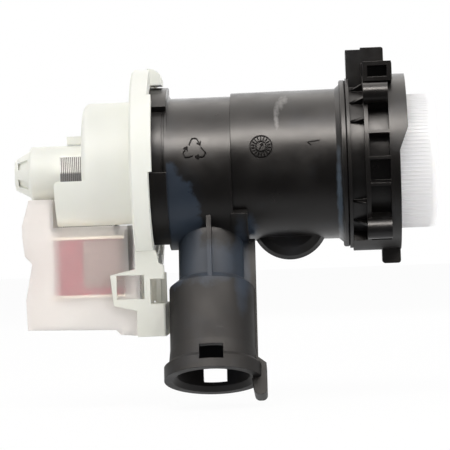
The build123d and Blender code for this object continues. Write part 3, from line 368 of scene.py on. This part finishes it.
even = (1.0, 1.0, 1.0)
shaft_steel = streaked("ground steel", colour(0.58, 0.58, 0.59), colour(0.66, 0.66, 0.67),
                       rough=0.26, metal=1.0, streak=(6.0, 1.0, 1.0))
brass = streaked("tinned brass", colour(0.62, 0.58, 0.48), colour(0.72, 0.68, 0.56),
                 rough=0.30, metal=1.0, streak=(1.0, 1.0, 0.15))
ferrite = streaked("ferrite", colour(0.045, 0.045, 0.05), colour(0.075, 0.075, 0.08),
                   rough=0.50, metal=0.0, streak=(0.2, 1.0, 1.0))
carbon = streaked("bearing carbon", colour(0.03, 0.03, 0.032), colour(0.05, 0.05, 0.052),
                  rough=0.40, metal=0.0, streak=even)
varnish = streaked("core varnish", colour(0.035, 0.030, 0.026), colour(0.060, 0.052, 0.045),
                   rough=0.50, metal=0.0, streak=even)
rubber = streaked("black rubber", colour(0.014, 0.014, 0.014), colour(0.024, 0.023, 0.023),
                  rough=0.62, metal=0.0, streak=even)
print("Made", shaft_steel.name, brass.name, ferrite.name, carbon.name, varnish.name, rubber.name)

# %% [markdown]
# The stator sheets are bright steel at the cut edge, and a band of them below the pump axis is
# painted darker, as painted shade. Two ramps along Z make the band, so the same material serves
# every sheet. The enamelled wire is rose red under a clear lacquer, and the tape on it is a dull
# brownish rose.

# %% Sheet steel, wire enamel and tape
# Two ramps along Z bound the band of painted shade below the pump axis.
shade_band_top = (-0.6 * mm, 0.4 * mm)
shade_band_foot = (-11.0 * mm, -9.0 * mm)
painted_shade_grey = colour(0.20, 0.20, 0.205)
sheet_rough = (0.34, 0.46)
enamel_rough = (0.30, 0.42)


def sheet_steel():
    """Cut edges of electrical sheet, with a band of painted shade below the pump axis."""
    material, tree, shader = start_material("electrical sheet")
    height = coordinate(tree, "Z")
    below = spread(tree, height, *shade_band_top, 1.0, 0.0)
    above = spread(tree, height, *shade_band_foot, 0.0, 1.0)
    # The share of painted shade: 1 inside the band, 0 above and below it.
    dark = calculate(tree, "MULTIPLY", below, above)
    spots = spread(tree, object_noise(tree, scale=900, detail=4.0), 0.3, 0.7, 0.0, 1.0)
    bright = tint(tree, spots, colour(0.74, 0.74, 0.73), colour(0.86, 0.86, 0.84))
    tree.links.new(tint(tree, dark, bright, painted_shade_grey), shader.inputs["Base Color"])
    shader.inputs["Metallic"].default_value = 0.7
    tree.links.new(spread(tree, spots, 0.0, 1.0, *sheet_rough), shader.inputs["Roughness"])
    grain(tree, shader, scale=1600, depth=0.02 * mm, edge=0.1 * mm, strength=0.25)
    return material


def wire_enamel():
    """Rose red enamel, with a clear coat."""
    material, tree, shader = start_material("wire enamel")
    drift = drift_share(tree, object_noise(tree, scale=160, detail=3.0))
    rose = tint(tree, drift, colour(0.30, 0.025, 0.060), colour(0.38, 0.045, 0.085))
    tree.links.new(rose, shader.inputs["Base Color"])
    follow_roughness(tree, shader, object_noise(tree, scale=600, detail=3.0), *enamel_rough)
    shader.inputs["Coat Weight"].default_value = 0.4
    shader.inputs["Coat Roughness"].default_value = 0.15
    grain(tree, shader, scale=2200, depth=0.02 * mm, edge=0.1 * mm, strength=0.25)
    return material


sheet_edge = sheet_steel()
enamel = wire_enamel()
tape = streaked("coil tape", colour(0.20, 0.130, 0.125), colour(0.26, 0.17, 0.165),
                rough=0.45, metal=0.0, streak=(1.0, 1.0, 0.3))
print("Made", sheet_edge.name, enamel.name, tape.name)

# %% [markdown]
# Each CAD node now takes its finish. A node's mesh stays as imported, and only its material slots
# change. A node that a modelled piece stands for later gets a finish too, so none is left bare.

# %% Dress the CAD nodes
finishes = {
    "volute_housing": black_volute, "filter_chamber": black_chamber, "filter_collar": black,
    # the connector housing takes the darker cream copy, which is painted shade
    "rotor_can": cream, "motor_housing": cream, "connector_housing": painted_shade_cream,
    "filter_cap": white, "filter_basket": white, "basket_grid": white,
    "impeller": grey, "hub_cover": grey, "drive_dog": grey, "rotor_carrier": grey,
    "bearing_holder": grey, "front_bearing": carbon, "rear_bearing": carbon,
    "thrust_washer": carbon, "filter_seal": rubber, "wet_plate_seal": rubber,
    "rear_bearing_mount": silicone, "rotor_shaft": shaft_steel, "rotor_magnet": ferrite,
    "stator_core": sheet_edge, "front_bobbin": bobbin_plastic, "rear_bobbin": bobbin_plastic,
    "front_winding": enamel, "rear_winding": enamel, "coil_cover": frost, "terminal_blades": brass,
}
for node_name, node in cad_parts.items():
    node.data.materials.clear()
    node.data.materials.append(finishes[node_name])
print("Dressed", len(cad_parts), "nodes in", len(set(finishes.values())), "finishes")

# %% [markdown]
# What repeats is made with Geometry Nodes. A tree here copies one shape in a row or in a ring, or
# wraps it round a drum, and ends by making the result real and setting its material. The result
# is baked to a plain mesh at once, because the frame's tools and the export want a mesh without
# a live modifier.

# %% Helpers for Geometry Nodes
def new_tree(name, inputs):
    """A geometry node group with named inputs, its input node and its output node."""
    tree = bpy.data.node_groups.new(name, "GeometryNodeTree")
    tree.interface.new_socket("Geometry", in_out="INPUT", socket_type="NodeSocketGeometry")
    for label, kind in inputs:
        tree.interface.new_socket(label, in_out="INPUT", socket_type="NodeSocket" + kind)
    tree.interface.new_socket("Geometry", in_out="OUTPUT", socket_type="NodeSocketGeometry")
    return tree, tree.nodes.new("NodeGroupInput"), tree.nodes.new("NodeGroupOutput")


def realise(tree, geometry, entry, leave):
    """Ends a tree: makes the copies real and gives them the finish that the tree is given."""
    solid = add_node(tree, "GeometryNodeRealizeInstances")
    painted = add_node(tree, "GeometryNodeSetMaterial")
    tree.links.new(geometry, solid.inputs[0])
    tree.links.new(solid.outputs[0], painted.inputs["Geometry"])
    tree.links.new(entry.outputs["Finish"], painted.inputs["Material"])
    tree.links.new(painted.outputs[0], leave.inputs[0])


def row_tree(name, axis):
    """Copies the incoming shape along an axis by a pitch."""
    inputs = [("Count", "Int"), ("Pitch", "Float"), ("Finish", "Material")]
    tree, entry, leave = new_tree(name, inputs)
    step = add_node(tree, "ShaderNodeCombineXYZ")
    row = add_node(tree, "GeometryNodeMeshLine", mode="OFFSET")
    copies = add_node(tree, "GeometryNodeInstanceOnPoints")
    link = tree.links.new
    link(entry.outputs["Pitch"], step.inputs[axis])
    link(entry.outputs["Count"], row.inputs["Count"])
    link(step.outputs[0], row.inputs["Offset"])
    link(row.outputs[0], copies.inputs["Points"])
    link(entry.outputs["Geometry"], copies.inputs["Instance"])
    realise(tree, copies.outputs[0], entry, leave)
    return tree


def bake(source, tree, values, name):
    """Runs the tree on the source object and keeps the result as a plain mesh object."""
    modifier = source.modifiers.new("repeat", "NODES")
    modifier.node_group = tree
    identifiers = {s.name: s.identifier for s in tree.interface.items_tree if s.in_out == "INPUT"}
    for label, value in values.items():
        modifier[identifiers[label]] = value
    bpy.context.view_layer.update()
    evaluated = source.evaluated_get(bpy.context.evaluated_depsgraph_get())
    mesh = bpy.data.meshes.new_from_object(evaluated)
    mesh.name = name
    source.modifiers.remove(modifier)
    bpy.data.objects.remove(source)
    piece = bpy.data.objects.new(name, mesh)
    bpy.context.scene.collection.objects.link(piece)
    return piece


def mesh_piece(name, points, faces, material=None):
    """A mesh object from points and faces, linked to the scene."""
    mesh = bpy.data.meshes.new(name)
    mesh.from_pydata([tuple(p) for p in points], [], faces)
    mesh.validate()
    if material:
        mesh.materials.append(material)
    piece = bpy.data.objects.new(name, mesh)
    bpy.context.scene.collection.objects.link(piece)
    return piece


def skin(rings, width, closed=True):
    """Quads between rings of points, each of one width, and from last to first if closed."""
    faces = []
    for ring in range(rings if closed else rings - 1):
        after = (ring + 1) % rings
        for i in range(width):
            j = (i + 1) % width
            faces.append((ring * width + i, ring * width + j, after * width + j, after * width + i))
    return faces


def face_outwards(piece, merge=0.002 * mm):
    """Merges doubles and turns all faces outwards."""
    work = bmesh.new()
    work.from_mesh(piece.data)
    bmesh.ops.remove_doubles(work, verts=work.verts, dist=merge)
    bmesh.ops.recalc_face_normals(work, faces=work.faces)
    work.to_mesh(piece.data)
    work.free()


def settle(piece, body, slot_name, *nodes):
    """Ties a finished piece to its body and hides the nodes it stands for. The slot name is not
    used.
    """
    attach(piece, body)
    if nodes:
        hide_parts(*nodes)
    print("Settled", piece.name, "on", body, "with", len(piece.data.polygons), "faces")


print("Geometry helpers are ready")

# %% [markdown]
# The stator is a stack of punched sheets, and their edges show in the window beside the can. One
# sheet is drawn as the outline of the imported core, with the round cut for the can, and a mesh
# line of points along the pump axis carries the rest. Every sheet is thinner than the pitch, and
# a plate of dark varnish fills the joints a little below the edge, so the joints read as lines.

# %% Outline of one stator sheet
core_low, core_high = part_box("stator_core")
pole_radius = 12.3 * mm
slot_half = 5.5 * mm
yoke_height = 9.0 * mm
yoke_top = core_low.z + yoke_height
arc_steps = 14


def sheet_outline():
    """Points (Y, Z) of the U-shaped sheet, counter-clockwise from the lower left."""
    top_y = sqrt(pole_radius ** 2 - core_high.z ** 2)
    low_z = -sqrt(pole_radius ** 2 - slot_half ** 2)
    points = [(core_low.y, core_low.z), (core_high.y, core_low.z), (core_high.y, core_high.z)]
    start = Vector((top_y, core_high.z)).angle_signed(Vector((1, 0)))
    end = Vector((slot_half, low_z)).angle_signed(Vector((1, 0)))
    right = []
    for step in range(arc_steps + 1):
        angle = start + (end - start) * step / arc_steps
        right.append((pole_radius * cos(angle), pole_radius * sin(angle)))
    points += right + [(slot_half, yoke_top), (-slot_half, yoke_top)]
    points += [(-y, z) for y, z in reversed(right)]
    points.append((core_low.y, core_high.z))
    return points


outline = sheet_outline()
print("One sheet has", len(outline), "corners")

# %% [markdown]
# The stack is one sheet and its copies, a pitch apart. The varnish between them is one solid
# plate, drawn in from the outline, which costs far fewer faces than one film per joint.

# %% Stack the sheets
sheet_count = 27
sheet_pitch = (core_high.x - core_low.x) / sheet_count
sheet_share = 0.60
varnish_depth = 0.35 * mm
varnish_setback = 0.1 * mm
corner_limit = 0.5


def plate(name, corners, start, end, material=None):
    """A flat plate with the given corners (Y, Z), between two places along X."""
    count = len(corners)
    points = [(start, y, z) for y, z in corners] + [(end, y, z) for y, z in corners]
    faces = [tuple(range(count)), tuple(range(2 * count - 1, count - 1, -1))]
    faces += [(i, i + count, (i + 1) % count + count, (i + 1) % count) for i in range(count)]
    return mesh_piece(name, points, faces, material)


def drawn_in(corners, depth):
    """The corners of a closed outline, moved inwards along the bisector of their two edges."""
    inner = []
    for i, here in enumerate(corners):
        before = Vector(here) - Vector(corners[i - 1])
        after = Vector(corners[(i + 1) % len(corners)]) - Vector(here)
        normal = Vector((-before.y, before.x)).normalized()
        normal += Vector((-after.y, after.x)).normalized()
        narrowing = max(corner_limit, normal.length_squared / 2)
        inner.append(tuple(Vector(here) + normal * depth / narrowing))
    return inner


single = plate("sheet", outline, core_low.x, core_low.x + sheet_pitch * sheet_share)
face_outwards(single)
bond = plate("stator_varnish", drawn_in(outline, varnish_depth), core_low.x + varnish_setback,
             core_high.x - sheet_pitch * sheet_share, varnish)
face_outwards(bond)
settle(bond, "housing", "core_steel")
sheet_values = {"Count": sheet_count, "Pitch": sheet_pitch, "Finish": sheet_edge}
stack = bake(single, row_tree("stack along the axis", "X"), sheet_values, "stator_sheets")
settle(stack, "housing", "core_steel", "stator_core")

# %% [markdown]
# Each coil is enamelled wire in rows on its bobbin. Under the frosted cover only the rows and
# the rounded corners can be read, so one row is a closed bead that follows the rounded rectangle
# of the coil, and a mesh line stacks the rows upwards.

# %% Wire rows of the two coils
row_count = 34
row_corner = 3.7 * mm
row_depth = 2.9 * mm
corner_steps = 6
bead_steps = 6


def rounded_loop(low, high, corner, inset):
    """Points (X, Y) of a rounded rectangle, drawn inwards by an inset."""
    points = []
    centres = [(high.x - corner, high.y - corner), (low.x + corner, high.y - corner),
               (low.x + corner, low.y + corner), (high.x - corner, low.y + corner)]
    for quarter, (centre_x, centre_y) in enumerate(centres):
        for step in range(corner_steps + 1):
            angle = pi / 2 * (quarter + step / corner_steps)
            points.append((centre_x + (corner - inset) * cos(angle),
                           centre_y + (corner - inset) * sin(angle)))
    return points


def one_row(low, high, pitch):
    """A closed bead round the coil: half round outside, flat inside."""
    levels = []
    for step in range(bead_steps + 1):
        angle = -pi / 2 + pi * step / bead_steps
        height = low.z + pitch / 2 + pitch / 2 * sin(angle)
        levels.append((height, pitch / 2 * (1 - cos(angle))))
    levels += [(low.z + pitch, row_depth), (low.z, row_depth)]
    points = []
    for height, inset in levels:
        points += [(x, y, height) for x, y in rounded_loop(low, high, row_corner, inset)]
    return mesh_piece("row", points, skin(len(levels), len(points) // len(levels)))


pile = row_tree("pile upwards", "Z")
for side in ("front", "rear"):
    low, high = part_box(side + "_winding")
    pitch = (high.z - low.z) / row_count
    bead = one_row(low, high, pitch)
    face_outwards(bead)
    row_values = {"Count": row_count, "Pitch": pitch, "Finish": enamel}
    coil = bake(bead, pile, row_values, side + "_wire_rows")
    for polygon in coil.data.polygons:
        polygon.use_smooth = True
    settle(coil, "housing", "winding_copper", side + "_winding")

# %% [markdown]
# Tape holds the last turns. It covers the right part of the front coil and goes round its corner,
# and it shows through the cover as a paler field. It is a thin closed band on the coil's own
# outline, lifted a little so that it doesn't fight with the wire rows.

# %% Tape on the front coil
tape_start = -130.6 * mm
tape_low = -49.0 * mm
tape_high = -29.4 * mm
tape_lift = 0.35 * mm
tape_thick = 0.2 * mm
tape_side = 10.0 * mm
tape_rows = 6


def tape_path(low, high, lift):
    """Points (X, Y) along the coil's front, round its right corner and back along its end."""
    corner = row_corner + lift
    points = [(tape_start, low.y - lift), ((tape_start + high.x - row_corner) / 2, low.y - lift)]
    for step in range(corner_steps + 1):
        angle = -pi / 2 + pi / 2 * step / corner_steps
        points.append((high.x - row_corner + corner * cos(angle),
                       low.y + row_corner + corner * sin(angle)))
    points.append((high.x + lift, low.y + tape_side))
    return points


def coil_tape():
    """A closed band of tape on the front coil."""
    low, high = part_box("front_winding")
    sides = tape_path(low, high, tape_lift), tape_path(low, high, tape_lift - tape_thick)
    count = len(sides[0])
    points = []
    for row in range(tape_rows + 1):
        level = tape_low + (tape_high - tape_low) * row / tape_rows
        points += [(x, y, level) for side in sides for x, y in side]
    faces = []
    for row in range(tape_rows):
        for side in range(2):
            for i in range(count - 1):
                a = row * 2 * count + side * count + i
                faces.append((a, a + 1, a + 1 + 2 * count, a + 2 * count))
        for i in (0, count - 1):
            a = row * 2 * count + i
            faces.append((a, a + count, a + 3 * count, a + 2 * count))
    for row in (0, tape_rows):
        for i in range(count - 1):
            a = row * 2 * count + i
            faces.append((a, a + 1, a + 1 + count, a + count))
    return mesh_piece("coil_tape", points, faces, tape)


band = coil_tape()
face_outwards(band)
settle(band, "housing", "winding_copper")

# %% [markdown]
# The filter cap is turned by hand, so its rim carries fine axial ribs all round. One rib is a
# long low ridge with sloping ends. All copies start at one place, and each is turned about the
# axis by an angle that comes from its index, so the count can change without a gap.

# %% Grip ribs of the filter cap
cap_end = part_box("filter_cap")[1].x
cap_radius = 28.4 * mm
grip_count = 108
grip_height = 0.13 * mm
grip_width = 0.95 * mm
grip_ends = (cap_end - 3.0 * mm, -6.5 * mm)
grip_shoulders = (cap_end - 4.0 * mm, -5.0 * mm)
grip_shares = [(-0.5, -0.4), (-0.32, 0.62), (-0.12, 1.0), (0.12, 1.0), (0.32, 0.62), (0.5, -0.4)]


def one_grip_rib():
    """A ridge along X at the top of the cap (+Z), a little sunk in the rim."""
    stations = [(grip_ends[0], 0.0), (grip_shoulders[0], 1.0),
                (grip_shoulders[1], 1.0), (grip_ends[1], 0.0)]
    points = []
    for x, rise in stations:
        for across, up in grip_shares:
            height = grip_height * (up * rise if up > 0 else up)
            points.append((x, across * grip_width, cap_radius + height))
    width = len(grip_shares)
    faces = skin(len(stations), width, closed=False)
    faces.append(tuple(range(width)))
    faces.append(tuple(range(len(points) - 1, len(points) - width - 1, -1)))
    return mesh_piece("grip rib", points, faces)


def ring_tree():
    """Copies the incoming shape round the X axis."""
    tree, entry, leave = new_tree("ring round the axis", [("Count", "Int"), ("Finish", "Material")])
    spots = add_node(tree, "GeometryNodeMeshLine", {"Offset": (0.0, 0.0, 0.0)}, mode="OFFSET")
    index = add_node(tree, "GeometryNodeInputIndex")
    turn = add_node(tree, "ShaderNodeCombineXYZ")
    copies = add_node(tree, "GeometryNodeInstanceOnPoints")
    share = calculate(tree, "DIVIDE", index.outputs[0], entry.outputs["Count"])
    link = tree.links.new
    link(entry.outputs["Count"], spots.inputs["Count"])
    link(calculate(tree, "MULTIPLY", share, 2 * pi), turn.inputs["X"])
    link(spots.outputs[0], copies.inputs["Points"])
    link(entry.outputs["Geometry"], copies.inputs["Instance"])
    link(turn.outputs[0], copies.inputs["Rotation"])
    realise(tree, copies.outputs[0], entry, leave)
    return tree


rib = one_grip_rib()
face_outwards(rib)
grips = bake(rib, ring_tree(), {"Count": grip_count, "Finish": white}, "cap_grip_ribs")
settle(grips, "filter", "white_plastic")

# %% [markdown]
# The nose of the can is a ribbed cone. Between its ribs the wall of the rear bearing seat shows,
# paler than the deep pocket behind it. The seat is a turned sleeve, so its outline is drawn once
# as radius over length, and each corner is swept round the pump axis.

# %% Bearing seat in the nose
can_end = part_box("rotor_can")[0].x
nose_radius = 6.5 * mm
nose_slope = 3.7 / 6.5
nose_depth = 1.1 * mm
seat_start = can_end + 1.9 * mm
seat_end = can_end + 5.7 * mm
seat_bore = 3.6 * mm
bevel_length = 0.3 * mm
bevel_depth = 0.4 * mm
seat_steps = 48


def turned_ring(name, outline, steps, material):
    """A closed ring: an outline of (X, radius) swept round the X axis."""
    points = []
    for step in range(steps):
        angle = 2 * pi * step / steps
        points += [(x, radius * cos(angle), radius * sin(angle)) for x, radius in outline]
    return mesh_piece(name, points, skin(steps, len(outline)), material)


def seat_outline():
    """Outline of the sleeve: a little below the cone outside, straight inside."""
    tip = nose_radius - nose_depth
    low = tip + (seat_start - can_end) * nose_slope
    high = tip + (seat_end - can_end) * nose_slope
    return [(seat_start, seat_bore), (seat_start, low - bevel_depth),
            (seat_start + bevel_length, low), (seat_end, high), (seat_end, seat_bore)]


seat = turned_ring("nose_bearing_seat", seat_outline(), seat_steps, cream)
face_outwards(seat)
settle(seat, "housing", "cream_plastic")

# %% [markdown]
# The moulder leaves small raised marks on the drums: a dial with ticks round it, three arrows in
# a triangle, and a short arrow. They are a few tenths of a millimetre high and have hardly any
# gloss, so they read as dark lines on the grey band. Thin bars are enough for them, drawn flat
# first, in the plane of X and of the way round.

# %% Flat bars of the moulder's marks
bar_step = 0.6 * mm
bar_foot = -0.1 * mm
bend_shares = ((-0.38, 0.36), (-0.18, 0.88), (0.18, 0.88), (0.46, 0.34))
barb_share = 0.27
barb_spread = 0.6


def flat_bars(name, bars, width, height):
    """Thin raised bars, each from one flat point to another: (x, s) along the drum and round it."""
    points = []
    faces = []
    for (x0, s0), (x1, s1) in bars:
        along = Vector((x1 - x0, s1 - s0))
        steps = max(1, int(along.length / bar_step))
        across = Vector((-along.y, along.x)).normalized() * width / 2
        first = len(points)
        for step in range(steps + 1):
            here = Vector((x0, s0)) + along * step / steps
            for sign, z in ((1, bar_foot), (1, height), (-1, height), (-1, bar_foot)):
                points.append((here.x + sign * across.x, here.y + sign * across.y, z))
        faces += [tuple(first + c for c in face) for face in skin(steps + 1, 4, closed=False)]
        faces.append((first, first + 1, first + 2, first + 3))
        last = len(points) - 4
        faces.append((last + 3, last + 2, last + 1, last))
    return mesh_piece(name, points, faces)


def circle_bars(centre, radius, count):
    """Bars that close a circle."""
    corners = []
    for i in range(count):
        turn = 2 * pi * i / count
        corners.append((centre[0] + radius * cos(turn), centre[1] + radius * sin(turn)))
    return [(corners[i], corners[(i + 1) % count]) for i in range(count)]


def tick_bars(centre, inner, outer, count):
    """Short bars that point away from a centre."""
    bars = []
    for i in range(count):
        turn = 2 * pi * (i + 0.5) / count
        reach = Vector((cos(turn), sin(turn)))
        start = Vector(centre) + reach * inner
        end = Vector(centre) + reach * outer
        bars.append((tuple(start), tuple(end)))
    return bars


def arrow_bars(tail, head, barb):
    """A plain arrow from its tail to its head."""
    along = (Vector(head) - Vector(tail)).normalized()
    side = Vector((-along.y, along.x))
    left = Vector(head) - along * barb + side * barb * barb_spread
    right = Vector(head) - along * barb - side * barb * barb_spread
    return [(tail, head), (tuple(left), head), (tuple(right), head)]


def chasing_bars(centre, reach):
    """Three bent arrows that follow each other round a triangle."""
    bars = []
    for turn in range(3):
        along = Vector((cos(2 * pi * turn / 3), sin(2 * pi * turn / 3)))
        across = Vector((-along.y, along.x))
        first, second, third, last = (
            tuple(Vector(centre) + (along * x + across * y) * reach) for x, y in bend_shares)
        bars += [(first, second), (second, third), *arrow_bars(third, last, reach * barb_share)]
    return bars


print("Mark helpers are ready")

# %% [markdown]
# A Set Position node wraps the flat bars round a drum: the way round becomes an angle, and the
# height is added to the radius. The same tree serves both drums, because the radius, the clock
# angle and the centre are its inputs.

# %% Wrap the marks on the drums
def wrap_tree():
    """Wraps flat geometry (x, s, height) round a line along X, at a radius and a clock angle."""
    tree, entry, leave = new_tree("wrap on the drum", [
        ("Radius", "Float"), ("Clock", "Float"), ("Centre", "Vector"), ("Finish", "Material")])
    place = add_node(tree, "GeometryNodeInputPosition")
    parts = add_node(tree, "ShaderNodeSeparateXYZ")
    joined = add_node(tree, "ShaderNodeCombineXYZ")
    shifted = add_node(tree, "ShaderNodeVectorMath", operation="ADD")
    moved = add_node(tree, "GeometryNodeSetPosition")
    link = tree.links.new
    link(place.outputs[0], parts.inputs[0])
    arc = calculate(tree, "DIVIDE", parts.outputs["Y"], entry.outputs["Radius"])
    angle = calculate(tree, "ADD", arc, entry.outputs["Clock"])
    reach = calculate(tree, "ADD", parts.outputs["Z"], entry.outputs["Radius"])
    depth = calculate(tree, "MULTIPLY", calculate(tree, "COSINE", angle), reach)
    level = calculate(tree, "MULTIPLY", calculate(tree, "SINE", angle), reach)
    link(parts.outputs["X"], joined.inputs["X"])
    link(calculate(tree, "MULTIPLY", depth, -1.0), joined.inputs["Y"])
    link(level, joined.inputs["Z"])
    link(joined.outputs[0], shifted.inputs[0])
    link(entry.outputs["Centre"], shifted.inputs[1])
    link(entry.outputs["Geometry"], moved.inputs["Geometry"])
    link(shifted.outputs[0], moved.inputs["Position"])
    realise(tree, moved.outputs[0], entry, leave)
    return tree


volute_radius = 32.55 * mm
volute_centre = (0.0, -0.77 * mm, -2.11 * mm)
volute_clock = 17.0
chamber_radius = 31.8 * mm
chamber_centre = (0.0, 0.0, 0.0)
chamber_clock = 14.1
mark_width = 0.42 * mm
mark_height = 0.42 * mm
mark_merge = 0.0001 * mm
triangle = (-81.5 * mm, 0.0)
triangle_reach = 5.6 * mm
dial = (-53.6 * mm, 0.0)
inner_ring = (2.2 * mm, 20)
outer_ring = (4.6 * mm, 30)
ticks = (2.7 * mm, 4.1 * mm, 18)
needle_tail = (-54.3 * mm, -1.3 * mm)
needle_head = (-52.9 * mm, 1.3 * mm)
needle_barb = 1.0 * mm
line_tail = (-29.0 * mm, 1.6 * mm)
line_head = (-34.2 * mm, 1.0 * mm)
line_barb = (-32.6 * mm, -0.3 * mm)
dial_bars = (circle_bars(dial, *inner_ring) + circle_bars(dial, *outer_ring)
             + tick_bars(dial, *ticks) + arrow_bars(needle_tail, needle_head, needle_barb))
line_bars = [(line_head, line_tail), (line_head, line_barb)]
arrows = chasing_bars(triangle, triangle_reach)
marks = {
    "volute_marks": (volute_radius, volute_clock, volute_centre, arrows),
    "chamber_marks": (chamber_radius, chamber_clock, chamber_centre, dial_bars + line_bars),
}
wrap = wrap_tree()
for mark_name, (radius, clock, centre, bars) in marks.items():
    flat = flat_bars(mark_name, bars, mark_width, mark_height)
    face_outwards(flat, mark_merge)
    values = {"Radius": radius, "Clock": radians(clock), "Centre": centre, "Finish": mark_black}
    wrapped = bake(flat, wrap, values, mark_name)
    face_outwards(wrapped, mark_merge)
    settle(wrapped, "housing", "black_plastic")

# %% [markdown]
# The pump stands before a white backdrop on a white floor. The camera and what passes through the
# frosted cover see both as white, while the light that falls on the pump stays at a plain level.
# Gloss sees a world that is dark at the front, and a floor that is bright below the pump and
# dark towards the camera, so the black drums get a bright edge below and a deep middle. The floor
# is a little below the lowest point, and a small part of it takes the shadow.

# %% Floor and world
floor_gap = 2.0 * mm
floor_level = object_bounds()[0][2] - floor_gap
floor_half = 3.0
floor_grey = 0.88
glow_share = 0.95
glow_stretch = (-0.13, -0.07)
glow_levels = (0.1, 1.5)
plain_level = 0.42
front_level = 0.12
front_stretch = (-0.95, -0.45)
floor_points = [(-floor_half, -floor_half, floor_level), (floor_half, -floor_half, floor_level),
                (floor_half, floor_half, floor_level), (-floor_half, floor_half, floor_level)]


def floor_paint():
    """White to the camera, bright to gloss near the pump, with a part that takes the shadow."""
    material, tree, shader = start_material("floor")
    shader.inputs["Base Color"].default_value = colour(floor_grey, floor_grey, floor_grey)
    shader.inputs["Roughness"].default_value = 0.9
    glow = add_node(tree, "ShaderNodeEmission", {"Color": colour(1.0, 1.0, 1.0)})
    ray = add_node(tree, "ShaderNodeLightPath").outputs
    strength = add_node(tree, "ShaderNodeMix", {"B": 1.0})
    mix = add_node(tree, "ShaderNodeMixShader")
    seen = calculate(tree, "MAXIMUM", ray["Is Camera Ray"], ray["Is Transmission Ray"])
    glowing = calculate(tree, "MAXIMUM", seen, ray["Is Glossy Ray"])
    link = tree.links.new
    link(spread(tree, coordinate(tree, "Y"), *glow_stretch, *glow_levels), strength.inputs["A"])
    link(seen, strength.inputs["Factor"])
    link(strength.outputs[0], glow.inputs["Strength"])
    link(calculate(tree, "MULTIPLY", glowing, glow_share), mix.inputs[0])
    link(shader.outputs[0], mix.inputs[1])
    link(glow.outputs[0], mix.inputs[2])
    link(mix.outputs[0], tree.nodes["Material Output"].inputs["Surface"])
    return material


floor = mesh_piece("floor", floor_points, [(0, 1, 2, 3)], floor_paint())


def paint_world():
    """White to the camera and glass, dark to gloss at the front, plain for all other light."""
    world = bpy.context.scene.world or bpy.data.worlds.new("studio")
    bpy.context.scene.world = world
    world.use_nodes = True
    tree = world.node_tree
    sky = tree.nodes["Background"]
    ray = add_node(tree, "ShaderNodeLightPath").outputs
    gloss = add_node(tree, "ShaderNodeMix", {"A": plain_level})
    level = add_node(tree, "ShaderNodeMix", {"B": 1.0})
    seen = calculate(tree, "MAXIMUM", ray["Is Camera Ray"], ray["Is Transmission Ray"])
    forward = coordinate(tree, "Y", "Generated")
    link = tree.links.new
    link(ray["Is Glossy Ray"], gloss.inputs["Factor"])
    link(spread(tree, forward, *front_stretch, front_level, 1.0), gloss.inputs["B"])
    link(seen, level.inputs["Factor"])
    link(gloss.outputs[0], level.inputs["A"])
    link(level.outputs[0], sky.inputs["Strength"])
    sky.inputs["Color"].default_value = colour(1.0, 1.0, 1.0)


paint_world()
print("Floor at", round(floor_level, 4))

# %% [markdown]
# Four soft lamps give the shape: a key above, one at each end and a weak one behind. The lamp at
# the right would show as a hot spot on the drums, so gloss doesn't see it. The broad highlight
# comes from a wide warm card above and a strip in front of it, which only gloss sees.

# %% Lamps
def lamp(name, place, target, width, height, power):
    """A soft rectangular lamp that points at a target."""
    light = bpy.data.lights.new(name, "AREA")
    light.shape = "RECTANGLE"
    light.size = width
    light.size_y = height
    light.energy = power
    holder = bpy.data.objects.new(name, light)
    bpy.context.scene.collection.objects.link(holder)
    holder.location = place
    holder.rotation_euler = (Vector(target) - Vector(place)).to_track_quat("-Z", "Y").to_euler()
    holder.visible_camera = False
    return holder


middle = (-0.07, 0.0, -0.02)
cap_front = (0.02, 0.0, 0.0)
warm = (1.0, 0.94, 0.88)
lamp("key", (-0.10, -0.42, 0.72), middle, width=0.90, height=0.30, power=2.7)
lamp("left fill", (-0.95, -0.45, 0.25), middle, width=0.5, height=0.6, power=1.35)
right_fill = lamp("right fill", (0.85, -0.62, 0.02), cap_front, width=0.5, height=0.6, power=5.4)
right_fill.visible_glossy = False
lamp("back fill", (0.10, 0.85, 0.35), middle, width=0.8, height=0.6, power=1.8)
cards = (lamp("gloss card", (-0.07, 0.05, 0.80), (-0.07, 0.05, 0.0),
              width=2.4, height=1.7, power=35.0),
         lamp("gloss strip", (-0.07, -0.62, 0.68), (-0.07, 0.0, 0.0),
              width=1.8, height=0.26, power=60.0))
for card in cards:
    card.visible_diffuse = False
    card.visible_transmission = False
    card.data.color = warm
print("Four lamps and two cards are set")

# %% [markdown]
# The photograph looks straight at the side of the pump from a little over a metre, with a long
# lens, so parallel edges stay nearly parallel. The pump axis rises slightly to the right in it,
# which is a roll of the camera and not a tilt of the pump.

# %% Camera
target = Vector((-0.0710, 0.0, -0.0246))
distance = 1.07
azimuth = radians(2.2)
roll = radians(2.1)
lens = 199.0
sensor = 36.0
near_clip = 0.01


def place_camera():
    """The camera, from its own right, up and backward directions."""
    camera_data = bpy.data.cameras.new("camera")
    camera_data.lens = lens
    camera_data.sensor_width = sensor
    camera_data.clip_start = near_clip
    camera = bpy.data.objects.new("camera", camera_data)
    bpy.context.scene.collection.objects.link(camera)
    back = Vector((sin(azimuth), -cos(azimuth), 0.0))
    level = Vector((cos(azimuth), sin(azimuth), 0.0))
    upright = Vector((0.0, 0.0, 1.0))
    right = cos(roll) * level - sin(roll) * upright
    up = sin(roll) * level + cos(roll) * upright
    basis = Matrix((right, up, back)).transposed().to_4x4()
    camera.matrix_world = Matrix.Translation(target + back * distance) @ basis
    bpy.context.scene.camera = camera


place_camera()
bpy.context.scene.view_settings.view_transform = "Standard"
print("Camera is set")
